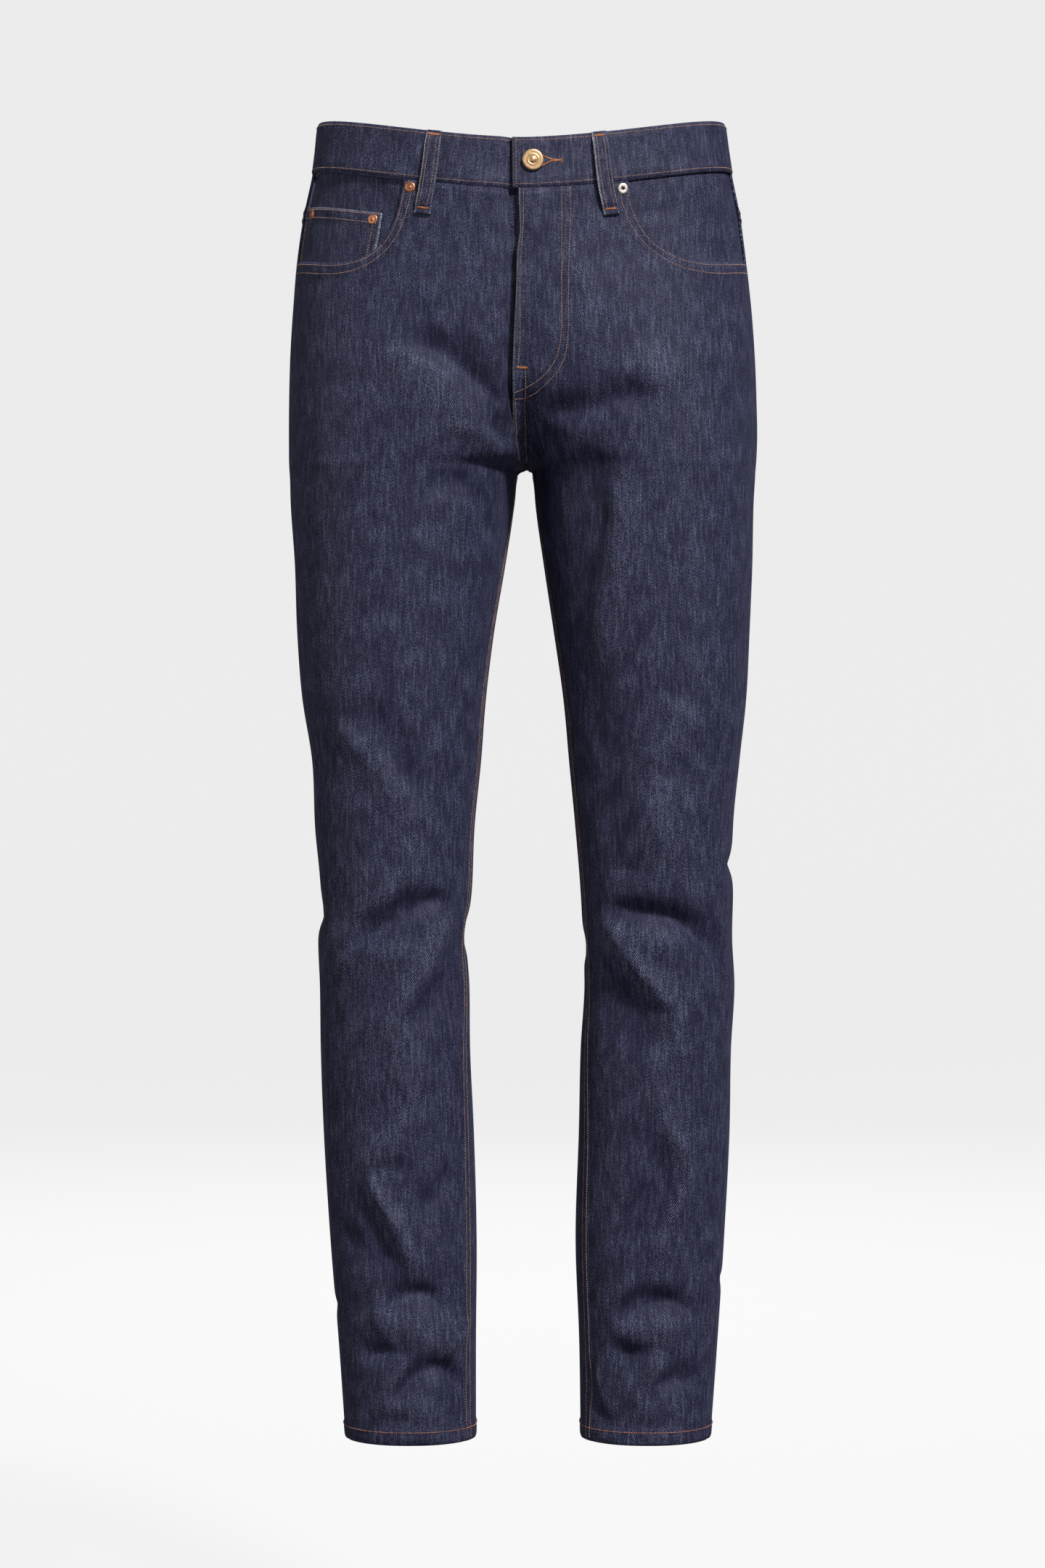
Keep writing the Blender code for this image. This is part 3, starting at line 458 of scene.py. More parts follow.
class Term:
    """A node's output that sums in Python can use: each operator adds its Math node."""

    def __init__(self, graph, socket):
        self.graph = graph
        self.socket = socket

    def math(self, operation, *others):
        return self.graph.node("ShaderNodeMath", {"operation": operation}, [self, *others])

    def __add__(self, other):
        return self.math("ADD", other)

    def __mul__(self, other):
        return self.math("MULTIPLY", other)

    def ramp(self, low, high):
        """0 below low, 1 above high, smooth between."""
        return self.graph.node("ShaderNodeMapRange", {"interpolation_type": "SMOOTHSTEP"},
                               {"Value": self, "From Min": low, "From Max": high})


class Graph:
    """A node tree that is being wired."""

    def __init__(self, tree):
        self.tree = tree
        tree.nodes.clear()

    def node(self, kind, settings=None, sockets=(), output=0):
        """Adds a node and gives its output: its type, its settings, then its sockets' values or links."""
        made = self.tree.nodes.new(kind)
        for name, value in (settings or {}).items():
            setattr(made, name, value)
        for name, value in sockets.items() if isinstance(sockets, dict) else enumerate(sockets):
            if isinstance(value, Term):
                self.tree.links.new(value.socket, made.inputs[name])
            else:
                made.inputs[name].default_value = value
        return Term(self, made.outputs[output]) if made.outputs else None

    def mix(self, factor, first, second, blend="MIX"):
        """A colour between two."""
        return self.node("ShaderNodeMix", {"data_type": "RGBA", "blend_type": blend},
                         {0: factor, 6: first, 7: second}, 2)

    def bump(self, height, strength, distance, **sockets):
        """The direction out of a surface with this height."""
        sockets |= {"Height": height, "Strength": strength, "Distance": distance}
        return self.node("ShaderNodeBump", None, sockets, "Normal")

    def surface(self, values):
        self.node("ShaderNodeOutputMaterial", None, [self.node("ShaderNodeBsdfPrincipled", None, values)])


def new_graph(name):
    material = bpy.data.materials.new(name)
    material.use_nodes = True
    return material, Graph(material.node_tree)


def shade(colour, part):
    """A colour this part as bright, for a node."""
    return tuple(value * part for value in colour) + (1,)


TWILL_SLOPE = radians(62)                # the twill's lines climb to the right
TWILL_PITCH = 1.20 * MM                  # between its lines
FLECK_PITCH = 1.6 * MM                   # between the weft's flecks along a line
TWILL_GRAIN = (1300, 560)                # spots a metre, across and along the lines
SLUBS = (620, 60)                        # and across and down the cloth
STREAKS = (330, 44)
PATCHES = (60, 44)
RUMPLE = (42, 26)
PUCKER = (120, 150)                      # beside the seams
CREST_WEAR_AND_PAINTED_LIGHT = (-2.12 * MM, 3.03 * MM)          # cloth that stands out between these lifts is painted paler: partly wear on the folds' ridges, partly painted highlight there and painted shade in the valleys
DYE = (0.80, 1.30)                       # darkest and palest warp, in parts of its colour
FRAYED = (0.70, 0.72, 0.78, 1.0)         # the weft's colour where an edge is folded


def indigo_denim(name, warp, weft):
    """Right-hand twill: dark warp over a paler weft that shows as short flecks along steep lines."""
    material, graph = new_graph(name)
    flat = graph.node("ShaderNodeAttribute", {"attribute_name": "flat"}, output="Vector")
    wear = graph.node("ShaderNodeAttribute", {"attribute_name": "wear"}, output="Fac")
    sewn = graph.node("ShaderNodeAttribute", {"attribute_name": "sewn"}, output="Fac")
    across = graph.node("ShaderNodeVectorMath", {"operation": "DOT_PRODUCT"},
                        [flat, (sin(TWILL_SLOPE), -cos(TWILL_SLOPE), 0)], "Value")
    along = graph.node("ShaderNodeVectorMath", {"operation": "DOT_PRODUCT"},
                       [flat, (cos(TWILL_SLOPE), sin(TWILL_SLOPE), 0)], "Value")
    u, v, lift = (graph.node("ShaderNodeSeparateXYZ", None, [flat], output) for output in range(3))

    def grain(x, y, spots, detail=1.0, roughness=0.5):
        place = graph.node("ShaderNodeCombineXYZ", None, [x * spots[0], y * spots[1]])
        return graph.node("ShaderNodeTexNoise", {"noise_dimensions": "2D"},
                          {"Vector": place, "Scale": 1.0, "Detail": detail, "Roughness": roughness})

    def wave(phase):
        return phase.math("SINE") * 0.5 + 0.5

    flecks = grain(across, along, TWILL_GRAIN)
    slubs = grain(u, v, SLUBS, 2.0)
    streaks = grain(u, v, STREAKS, 2.0)
    patches = grain(u, v, PATCHES, 3.0, 0.6)
    lines = wave(across * (2 * pi / TWILL_PITCH) + flecks * 1.2)
    beads = wave(along * (2 * pi / FLECK_PITCH) + across * (0.7 * pi / TWILL_PITCH) + flecks * 8.0)

    paleness = flecks.ramp(0.34, 0.62) * 0.70 + slubs.ramp(0.42, 0.72) * 0.65
    paleness = paleness * (beads.ramp(0.05, 0.85) * 0.8 + 0.2) * lines.ramp(0.30, 0.95)
    worn = patches.ramp(0.34, 0.68) * 0.32 + streaks.ramp(0.36, 0.66) * 0.34
    # The folds' ridges are painted paler and their valleys darker: partly the wear that denim takes on its
    # creases, partly painted highlight and painted shade.
    worn = worn + lift.ramp(*CREST_WEAR_AND_PAINTED_LIGHT) * 0.50 + 0.10
    dye = (patches * 0.5 + streaks * 0.5).ramp(0.3, 0.8)
    ground = graph.mix(dye, shade(warp, DYE[0]), shade(warp, DYE[1]))
    colour = graph.mix(paleness * worn, ground, shade(weft, 1))
    colour = graph.mix((beads * wear).math("MINIMUM", 1.0), colour, FRAYED)
    rumple = grain(u, v, RUMPLE, 2.0, 0.55) * 1.5 + grain(u, v, PUCKER) * sewn * 0.9
    soft = graph.bump(rumple, 0.8, 1.6 * MM)
    twill = graph.bump(lines * 0.7 + flecks * 0.6 + slubs * 0.3, 0.5, 0.3 * MM, Normal=soft)
    graph.surface({"Base Color": colour, "Roughness": 0.62, "Specular IOR Level": 0.22, "Sheen Weight": 0.06,
                   "Sheen Roughness": 0.5, "Sheen Tint": (0.55, 0.55, 1.0, 1.0), "Normal": twill})
    return material


denim = indigo_denim("indigo_denim", (0.0130, 0.0135, 0.0440), (0.285, 0.300, 0.430))
denim_inside = indigo_denim("denim_wrong_side", (0.10, 0.115, 0.165), (0.36, 0.38, 0.42))

ARC_TURN = 2.0                           # degrees between the columns of the tables of arcs
ARC_ANGLES = np.arange(-60.0, 430.0, ARC_TURN)
ARC_HEIGHTS = np.linspace(HEM_HEIGHT - 0.02, 0.04, 120)


def arc_table(leg, start):
    """Metres round a leg's oval from this angle, for each height and angle."""
    angle, height = np.meshgrid(ARC_ANGLES, ARC_HEIGHTS)
    _, _, half_width, half_depth = oval(leg, height)
    turn = np.radians(angle)
    reach = reach_out(half_width, half_depth, turn)
    steps = np.hypot(np.diff(reach * np.cos(turn)), np.diff(reach * np.sin(turn)))
    arc = np.concatenate([np.zeros((len(height), 1)), np.cumsum(steps, axis=1)], axis=1)
    column = np.searchsorted(ARC_ANGLES, start)
    return arc - arc[:, column:column + 1]


FRONT, BACK = 90.0, 270.0                # the angles where each panel's grain runs straight down
ARCS = {(leg, start): arc_table(leg, start) for leg in SIDE for start in (FRONT, BACK)}


def flat_place(leg, angle, height, start=FRONT):
    """Place on the flat cloth of a place on the leg, so that the weave runs on round it, and its lift."""
    column = np.clip((angle - ARC_ANGLES[0]) / ARC_TURN, 0, len(ARC_ANGLES) - 1.001)
    step = ARC_HEIGHTS[1] - ARC_HEIGHTS[0]
    row = np.clip((height - ARC_HEIGHTS[0]) / step, 0, len(ARC_HEIGHTS) - 1.001)
    arc = read_between(ARCS[leg, start], row, column)
    middle = oval(leg, height)[0] * (1 if start == FRONT else -1)
    # The lift rides along as the third value; the denim paints its ridges paler and its valleys darker by
    # it, partly as wear and partly as painted highlight and painted shade.
    return np.stack([middle - SIDE[leg] * arc, height, lifted(leg, angle, height)], axis=-1)


def new_piece(name, data):
    """An object in the scene."""
    piece = bpy.data.objects.new(name, data)
    bpy.context.scene.collection.objects.link(piece)
    return piece


SEWN_IN = 5 * MM                         # the seams' puckers are strongest this far from the edges
SEWN_WIDTH = 6 * MM


class Cloth:
    """A piece of cloth laid on the body as a grid of rows and columns, with both its faces and its edges.

    place and flat give a place's point and its place on the flat cloth. relief, wear and keep say how far
    it stands out, how pale it is worn and which of its cells there are.
    """

    def __init__(self, name, columns, rows, place, wall, flat,
                 relief=None, keep=None, wear=None, inside=None):
        column, row = np.meshgrid(np.asarray(columns, float), np.asarray(rows, float))
        base = place(column, row, np.zeros_like(column))
        across = np.linalg.norm(np.diff(base, axis=1), axis=-1)
        down = np.linalg.norm(np.diff(base, axis=0), axis=-1)
        zero_column = np.zeros((len(rows), 1))
        zero_row = np.zeros((1, len(columns)))
        self.edges = {
            "first": np.concatenate([zero_column, np.cumsum(across, axis=1)], axis=1),
            "last": np.concatenate([np.cumsum(across[:, ::-1], axis=1)[:, ::-1], zero_column], axis=1),
            "top": np.concatenate([zero_row, np.cumsum(down, axis=0)], axis=0),
            "bottom": np.concatenate([np.cumsum(down[::-1], axis=0)[::-1], zero_row], axis=0),
        }
        lift = relief(self.edges, column, row) if relief else np.zeros_like(column)
        self.outer = place(column, row, lift)
        inner = place(column, row, lift - wall)
        self.kept = np.ones((len(rows) - 1, len(columns) - 1), bool)
        if keep:
            middle_column = (column[1:, 1:] + column[:-1, :-1]) / 2
            middle_row = (row[1:, 1:] + row[:-1, :-1]) / 2
            self.kept = keep(middle_column, middle_row)
        self.normals = self.outward(lift, base, place, column, row)
        worn = wear(self.edges, column, row) if wear else np.zeros_like(column)
        nearest = np.minimum.reduce(list(self.edges.values()))
        shares = {"wear": worn, "sewn": ridge(nearest - SEWN_IN, SEWN_WIDTH)}
        self.build(name, inner, flat(column, row), shares, inside or denim_inside)

    def outward(self, lift, base, place, column, row):
        """Direction out of the cloth at each point."""
        side = np.cross(np.gradient(self.outer, axis=1), np.gradient(self.outer, axis=0))
        side /= np.maximum(np.linalg.norm(side, axis=-1, keepdims=True), 1e-12)
        out = place(column, row, lift + 1 * MM) - self.outer
        return side * np.sign((side * out).sum(axis=-1, keepdims=True))

    def build(self, name, inner, flat, shares, inside):
        rows, columns = self.outer.shape[:2]
        number = np.arange(rows * columns).reshape(rows, columns)
        quads = np.stack([number[:-1, :-1], number[1:, :-1], number[1:, 1:], number[:-1, 1:]], axis=-1)
        mid = self.kept.shape[0] // 2, self.kept.shape[1] // 2
        corner = self.outer[mid[0]:mid[0] + 2, mid[1]:mid[1] + 2]
        facing = np.cross(corner[1, 0] - corner[0, 0], corner[0, 1] - corner[0, 0])
        if facing.dot(self.normals[mid]) < 0:
            quads = quads[..., ::-1]
        outside = quads[self.kept]
        self.tree = BVHTree.FromPolygons(self.outer.reshape(-1, 3).tolist(), outside.tolist())
        count = rows * columns
        back = outside[:, ::-1] + count
        sides = np.concatenate([outside[:, [i, (i + 1) % 4]] for i in range(4)])
        seen = {tuple(side) for side in sides.tolist()}
        rims = [(a, a + count, b + count, b) for a, b in seen if (b, a) not in seen]
        used = np.zeros(count, bool)
        used[outside.ravel()] = True
        both = np.concatenate([used, used])
        renumber = np.cumsum(both) - 1
        points = np.concatenate([self.outer.reshape(-1, 3), inner.reshape(-1, 3)])[both]
        faces = renumber[np.concatenate([outside, back, np.array(rims)])]
        mesh = bpy.data.meshes.new(name)
        mesh.from_pydata(points, [], faces.tolist())
        mesh.materials.append(denim)
        mesh.materials.append(inside)
        under = np.zeros(len(faces), np.int32)
        under[len(outside):len(outside) + len(back)] = 1
        mesh.polygons.foreach_set("material_index", under)
        layer = mesh.attributes.new("flat", "FLOAT_VECTOR", "POINT")
        layer.data.foreach_set("vector", np.concatenate([flat.reshape(-1, 3)] * 2)[both].ravel())
        for title, values in shares.items():
            layer = mesh.attributes.new(title, "FLOAT", "POINT")
            layer.data.foreach_set("value", np.concatenate([values.ravel()] * 2)[both])
        mesh.shade_smooth()
        self.piece = new_piece(name, mesh)


def settle(cloth_piece, node):
    """Hangs a piece of cloth under the root and hides the part of the model that it stands for."""
    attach(cloth_piece.piece, "root")
    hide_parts(node)


def crowded(count, share=0.6):
    """Steps from 0 to 1 that crowd together towards both ends."""
    t = np.linspace(0, 1, count)
    return t - share * np.sin(2 * pi * t) / (2 * pi)


MOUTH_DROP = 73 * MM                     # depth of the pocket's mouth at the side seam
MOUTH_WIDTH = 104 * MM                   # from the side seam to its upper end
MOUTH_STEPS = 61                         # steps that its length is measured in
MOUTHS = {"right": (45.9, 4.5), "left": (50.1, 3.6)}   # angle of its upper end, squareness of its curve
FACING_REACH = 1.09                      # the facing's width, in widths of the mouth
FACING_CURVE = 1.12
FACING_TUCK = 15 * MM                    # how far it runs on below the mouth, under the panel
FACING_SINK = {"right": CLOTH_WALL + LAYER_GAP + COIN_WALL + SEAM_GAP, "left": CLOTH_WALL + LAYER_GAP}


def mouth_side(leg):
    """Angle and height of the lower end of a pocket's mouth, at the side seam."""
    side_height = np.array(-SIDE_DIP - BAND_HEIGHT / 2 - MOUTH_DROP)
    return seam("outseam", side_height) + edge_angle(leg, side_height)


def facing_angle(leg, across):
    side_angle = mouth_side(leg)
    return side_angle + (MOUTHS[leg][0] - side_angle) * across


def facing_depth(leg, across):
    """How far down the facing runs."""
    power = MOUTHS[leg][1]
    return (MOUTH_DROP + FACING_TUCK) * (1 - (across / FACING_CURVE)**power)**(1 / power)


def facing_place(leg, across, drop):
    angle = facing_angle(leg, across)
    return angle, waist_seam(leg, angle) - drop


def facing_point(leg, across, part, lift):
    angle, height = facing_place(leg, across, facing_depth(leg, across) * part)
    return cloth(leg, angle, height, lift - FACING_SINK[leg])


def facing_flat(leg, across, part):
    return flat_place(leg, *facing_place(leg, across, facing_depth(leg, across) * part))


for leg in SIDE:
    facing = Cloth("facing_" + leg, FACING_REACH * np.linspace(0, 1, 41), np.linspace(0, 1, 33),
                   partial(facing_point, leg), FACING_WALL, partial(facing_flat, leg))
    settle(facing, "pocket_facing_" + leg)


# ==== coin pocket ================================================================================
# The small patch pocket on the right facing: denim, hemmed along its top with two rows of stitches and
# sewn down its sides, its lower end caught under the front panel.
COIN_ACROSS = 8 / 10 * FACING_REACH      # it reaches this far from the side seam
COIN_FLARE = 0.06                        # it is wider at the bottom by this part
COIN_DROP = 28.7 * MM                    # its top edge, below the waist seam
COIN_HEM = 10 * MM                       # its turned top, which stands out by this:
COIN_PROUD = 0.3 * MM
COIN_SHORT = 4 * MM                      # it ends this much above the facing's lower edge
COIN_CUT = (0.31, 0.17, 0)               # it is cut from another place of the cloth than the front
COIN_WEAR = (0.35, 0.6)                  # how pale its top and its inner edge are worn
FOLD_WEAR = 0.6 * MM                     # as wide as this


def coin_place(column, row):
    across = column * (1 + COIN_FLARE * row)
    bottom = facing_depth("right", across) - COIN_SHORT
    return facing_place("right", across, COIN_DROP + (bottom - COIN_DROP) * row)


def lay_coin(column, row, lift):
    return cloth("right", *coin_place(column, row), lift - FACING_SINK["right"] + SEAM_GAP + COIN_WALL)


def coin_wear(edges, column, row):
    return COIN_WEAR[0] * ridge(edges["top"], FOLD_WEAR) + COIN_WEAR[1] * ridge(edges["last"], FOLD_WEAR)


coin = Cloth("coin_pocket_cloth", COIN_ACROSS * np.linspace(0, 1, 41), np.linspace(0, 1, 29),
             lay_coin, COIN_WALL,
             lambda column, row: flat_place("right", *coin_place(column, row)) + COIN_CUT, wear=coin_wear,
             relief=lambda edges, column, row: COIN_PROUD * ease(COIN_HEM + MM, COIN_HEM, edges["top"]))
settle(coin, "coin_pocket")


# ==== front panels and fly =======================================================================
# The two fronts, cut from heavy indigo denim: from the waistband and the curved pocket mouths down to
# the hems. The left one ends in the fly, which laps over the right front's edge and is stitched down
# in the shape of a J; a zip is behind it.
FLY_LAP = 0.0078                         # the left front laps over the right by this much
HEM_TURN = 0.0115                        # height of the turned-up hem
HEM_PROUD = 0.0006
HEM_STEP = 0.0020                        # height over which the hem stands out
PANEL_COLUMNS = 13
WAIST_COLUMNS = 5                        # of a front's columns, those between the middle and its pocket
UPPER_ROWS = 10                          # from the waist to the crotch
RISE_CROWDING = 2.2                      # the rows crowd together towards the crotch
CROTCH_ROW_FALL = 36 * MM                # the crotch row is this much lower at the side seam
LOWER_ROWS = ((-300.5, -600, 12), (-600, -738, 9), (-738, -930, 7), (-930, -1051, 7))  # from, to, rows
LEFT_LAPS = ((0, 0.33), (0.75, 0.23), (1.2, 0.63), (1.85, 0.74), (3, 0.95), (4, 1.1), (5, 1.1), (6, 1.08),
             (7, 1.03), (10, 1.0))       # the left front's edge: row, part of the lap that it reaches
LAP_BY_ROW = (1, 1, 1, 1, 1, 0.8, 0.45, 0.12)   # the part of the lap at which the right front bends under it
UNDER_BY_ROW = (2.5, 2.5, 2.5, 2.5, 1.2, -0.8, -0.8, -0.8)   # its edge below, past the middle, in mm
LAP_CUT = 0.008                          # the lap's width on the flat cloth


def front_inner_angle(leg, height):
    """Angle of the fly seam above the crotch, and of the inseam below it."""
    return np.where(height >= CROTCH_HEIGHT, angle_at(leg, seam_plane(height), height),
                    180 - seam("inseam", height))


def mouth(leg, part):
    """Angle and drop below the waist seam of a pocket's mouth, from its upper end (0) to the side (1)."""
    upper_angle, power = MOUTHS[leg]
    bends = np.linspace(0, pi / 2, MOUTH_STEPS)
    across = np.cos(bends)**(2 / power)
    down = np.sin(bends)**(2 / power)
    steps = np.hypot(np.diff(across) * MOUTH_WIDTH, np.diff(down) * MOUTH_DROP)
    length = np.concatenate([[0], np.cumsum(steps)])
    side_angle = mouth_side(leg)
    angle = side_angle + (upper_angle - side_angle) * np.interp(part * length[-1], length, across)
    return angle, MOUTH_DROP * np.interp(part * length[-1], length, down)


def row_levels():
    """Heights at the side seam of the rows below the crotch, down to the hem."""
    levels = [LOWER_ROWS[0][0]]
    for start, end, count in LOWER_ROWS:
        levels += [start + (end - start) * (i + 1) / count for i in range(count)]
    return np.array(levels + [HEM_HEIGHT / MM]) * MM


PANEL_ROWS = UPPER_ROWS + len(row_levels()) - 1


def panel_heights(top, part, row):
    """Heights of a panel's points, from its top edge through the crotch row to the hem."""
    crotch_row = CROTCH_HEIGHT - CROTCH_ROW_FALL * (1 - (1 - part)**2)
    down = np.clip(row / UPPER_ROWS, 0, 1)
    crowding = 1 - (1 - down)**RISE_CROWDING
    down = down + (crowding - down) * (1 - part)**3
    levels = row_levels()
    level = np.interp(row - UPPER_ROWS, range(len(levels)), levels)
    stretch = (crotch_row - HEM_HEIGHT) / (levels[0] - HEM_HEIGHT)
    upper = top + (crotch_row - top) * down
    return np.where(row <= UPPER_ROWS, upper, HEM_HEIGHT + (level - HEM_HEIGHT) * stretch)


def hem_lift(height):
    return HEM_PROUD * ease(HEM_HEIGHT + HEM_TURN + HEM_STEP, HEM_HEIGHT + HEM_TURN, height)


def front_place(leg, part, row):
    """Angle and height on a front: part 0 is the fly seam and inseam, part 1 the mouth and side seam."""
    part, row = np.broadcast_arrays(part, row)
    upper_angle = MOUTHS[leg][0]
    side_angle, side_drop = mouth(leg, np.array(1.0))
    fly_top = waist_seam(leg, 90.0)
    inner_height = panel_heights(fly_top, np.zeros_like(row), row)
    outer_height = panel_heights(waist_seam(leg, side_angle) - side_drop, np.ones_like(row), row)
    inner = front_inner_angle(leg, inner_height) - edge_angle(leg, inner_height)
    outer = seam("outseam", outer_height) + edge_angle(leg, outer_height)
    inner_top = front_inner_angle(leg, fly_top) - edge_angle(leg, fly_top)
    waist_part = WAIST_COLUMNS / PANEL_COLUMNS
    mouth_angle, mouth_drop = mouth(leg, np.clip((part - waist_part) / (1 - waist_part), 0, 1))
    waist_angle = inner_top + (upper_angle - inner_top) * np.clip(part / waist_part, 0, 1)
    top_angle = np.where(part > waist_part, mouth_angle, waist_angle)
    top_part = (inner_top - top_angle) / (inner_top - side_angle)
    level_part = top_part + (part - top_part) * ease(0, UPPER_ROWS, row)
    angle = inner + (outer - inner) * level_part
    return angle, panel_heights(waist_seam(leg, top_angle) - mouth_drop, part, row)


def front_point(leg, part, row, lift):
    angle, height = front_place(leg, part, row)
    return cloth(leg, angle, height, lift + hem_lift(height))


def fly_point(offset, row, lift):
    """Points beside the fly seam, offset along X from it, on whichever leg's oval lies there."""
    height = panel_heights(waist_seam("left", 90.0), np.zeros_like(row), row)
    plane = seam_plane(height)
    x = plane + offset
    right = cloth("right", angle_at("right", x, height), height, lift)
    left = cloth("left", angle_at("left", x, height), height, lift)
    return np.where((x <= plane)[..., None], right, left)


def lay_left_front(column, row, lift):
    """Columns -1 to 0 are the fly's lap past the seam."""
    points = front_point("left", np.clip(column / PANEL_COLUMNS, 0, 1), row, lift)
    share = np.interp(row, *np.array(LEFT_LAPS).T)
    lap = fly_point(FLY_LAP * share * np.minimum(column, 0), row, lift)
    return np.where((column < -0.001)[..., None], lap, points)


def lay_right_front(column, row, lift):
    """Columns -1 to 0 lie under the lap, and the next ones rise from there to the panel."""
    last = len(LAP_BY_ROW) - 1
    points = front_point("right", np.clip(column / PANEL_COLUMNS, 0, 1), row, lift)
    share = np.interp(row, range(last + 1), LAP_BY_ROW)
    sunk = -(CLOTH_WALL + LAYER_GAP)
    edge = np.interp(row, range(last + 1), UNDER_BY_ROW) * MM
    bend = -FLY_LAP * share - LAYER_GAP
    under = fly_point(edge + (bend - edge) * (np.clip(column, -1, 0) + 1), row, lift + sunk)
    dipped = fly_point(bend, row, lift + sunk)
    level = front_point("right", np.full_like(row, 1 / PANEL_COLUMNS), row, lift)
    rise = ease(-0.1, 1, column)[..., None]
    rising = dipped + (level - dipped) * rise
    hold = ease(last, last - 1, row)[..., None]
    points = np.where(((column < 1) & (column >= 0))[..., None], points + (rising - points) * hold, points)
    return np.where((column < -0.001)[..., None], under, points)


def front_flat(leg, column, row):
    """Place on the flat cloth of a place on a front, whose lap lies past its edge."""
    lap = -SIDE[leg] * LAP_CUT * np.minimum(column, 0)
    flat = flat_place(leg, *front_place(leg, np.clip(column / PANEL_COLUMNS, 0, 1), row))
    return flat + np.stack([lap, 0 * row, 0 * row], axis=-1)


FELL_WIDTH = 10.6 * MM                   # of the felled seams, which stand out
FELL_PROUD = 0.45 * MM
SEAM_DENT = 0.55 * MM                    # the outseam's furrow
DENT_WIDTH = 1.8 * MM
EDGE_ROLL = 0.45 * MM                    # turned edges round off
ROLL_WIDTH = 1.2 * MM                    # at the hem
FLY_OUTER = ((37.9, -50.5), (37.9, -80), (37, -105), (36.4, -140), (35.9, -170), (33, -187), (26.6, -198.7),
             (18.5, -207), (10.4, -213.2), (2, -216.6), (-5.6, -217.8))
FLY_PROUD = 0.8 * MM                     # the doubled cloth inside the fly's J,
FLY_SLOPE = (3.5 * MM, 1.5 * MM)         # which rises between these distances past the J
FLY_FOOT = (-4 * MM, -1 * MM)            # and its foot
FLY_VALLEY = 4.0 * MM                    # the right front sinks beside the fly's edge
VALLEY_PLACE = (2 * MM, 6 * MM)          # how far from its edge, and how wide
VALLEY_END = 0.85                        # the valley runs out over the last of the rows above the crotch
CROTCH_PROUD = 1.2 * MM                  # the left front's felled edge lies on the right one below the fly,
CROTCH_START = (6.5, 8)                  # from these rows on
CROTCH_REACH = (14 * MM, 10 * MM)        # and as far from its edge as this
CROTCH_LAP = 9.6                         # rows down to which it laps over


def felled(distance):
    """Relief of a felled seam at this distance from its edge."""
    return FELL_PROUD * ease(FELL_WIDTH + MM, FELL_WIDTH, distance)


def front_relief(leg):
    """Relief of a front: turned mouth, felled inseam, doubled fly, rolled hem."""
    mouth_angle, mouth_drop = mouth(leg, np.linspace(0, 1, 90))
    mouth_line = flat_place(leg, mouth_angle, waist_seam(leg, mouth_angle) - mouth_drop)[:, :2]
    fly_reach, fly_heights = np.array(FLY_OUTER)[::-1].T * MM

    def relief(edges, column, row):
        angle, height = front_place(leg, np.clip(column / PANEL_COLUMNS, 0, 1), row)
        flat = flat_place(leg, angle, height)[..., :2]
        from_mouth = np.linalg.norm(flat[..., None, :] - mouth_line, axis=-1).min(axis=-1)
        from_seam = abs(edges["first"] - edges["first"][:, len(LAP_STEPS):len(LAP_STEPS) + 1])
        lift = felled(from_mouth) - EDGE_ROLL * ridge(from_mouth, MM)
        lift += ease(UPPER_ROWS, UPPER_ROWS + 1.5, row) * felled(from_seam)
        lift -= SEAM_DENT * ridge(edges["last"], DENT_WIDTH) + EDGE_ROLL * ridge(edges["bottom"], ROLL_WIDTH)
        if leg == "right":
            valley = ridge(from_seam - VALLEY_PLACE[0], VALLEY_PLACE[1])
            return lift - FLY_VALLEY * valley * ease(UPPER_ROWS, VALLEY_END * UPPER_ROWS, row)
        over = np.where(column < 0, 1, ease(*CROTCH_REACH, from_seam))
        lift += CROTCH_PROUD * over * ease(*CROTCH_START, row) * ease(UPPER_ROWS + 1, UPPER_ROWS, row)
        past = cloth(leg, angle, height)[..., 0] - np.interp(height, fly_heights, fly_reach)
        return lift + FLY_PROUD * ease(*FLY_SLOPE, past) * ease(*FLY_FOOT, height - fly_heights[0])

    return relief


CROTCH_LINE = 82                         # the panels' first row below the crotch
PANEL_STEPS = np.concatenate([np.linspace(0, UPPER_ROWS, CROTCH_LINE)[:-1],
                              np.linspace(UPPER_ROWS, PANEL_ROWS, 260)])
FRONT_STEPS = PANEL_COLUMNS * crowded(104)
LAP_STEPS = np.linspace(-1, 0, 6)[:-1]
FRONT_LAYERS = {                         # how each lies, and the rows down to which its lap runs
    "right": (lay_right_front, len(LAP_BY_ROW) - 2),
    "left": (lay_left_front, CROTCH_LAP),
}
EDGE_WEAR = 0.8 * MM                     # width of the wear along the fly's and the waistband's ends
FLY_WEAR = 0.4                           # and how pale the fly's edge is


def fly_wear(edges, column, row):
    return FLY_WEAR * ridge(edges["first"], EDGE_WEAR) * (row < UPPER_ROWS - 1)


fronts = {}
for leg, (lay_front, lapped) in FRONT_LAYERS.items():
    fronts[leg] = Cloth(
        "front_" + leg + "_cloth", np.concatenate([LAP_STEPS, FRONT_STEPS]), PANEL_STEPS,
        lay_front, CLOTH_WALL, partial(front_flat, leg), relief=front_relief(leg), wear=fly_wear,
        keep=lambda column, row, lapped=lapped: (column > 0) | (row < lapped))
    settle(fronts[leg], "front_" + leg)


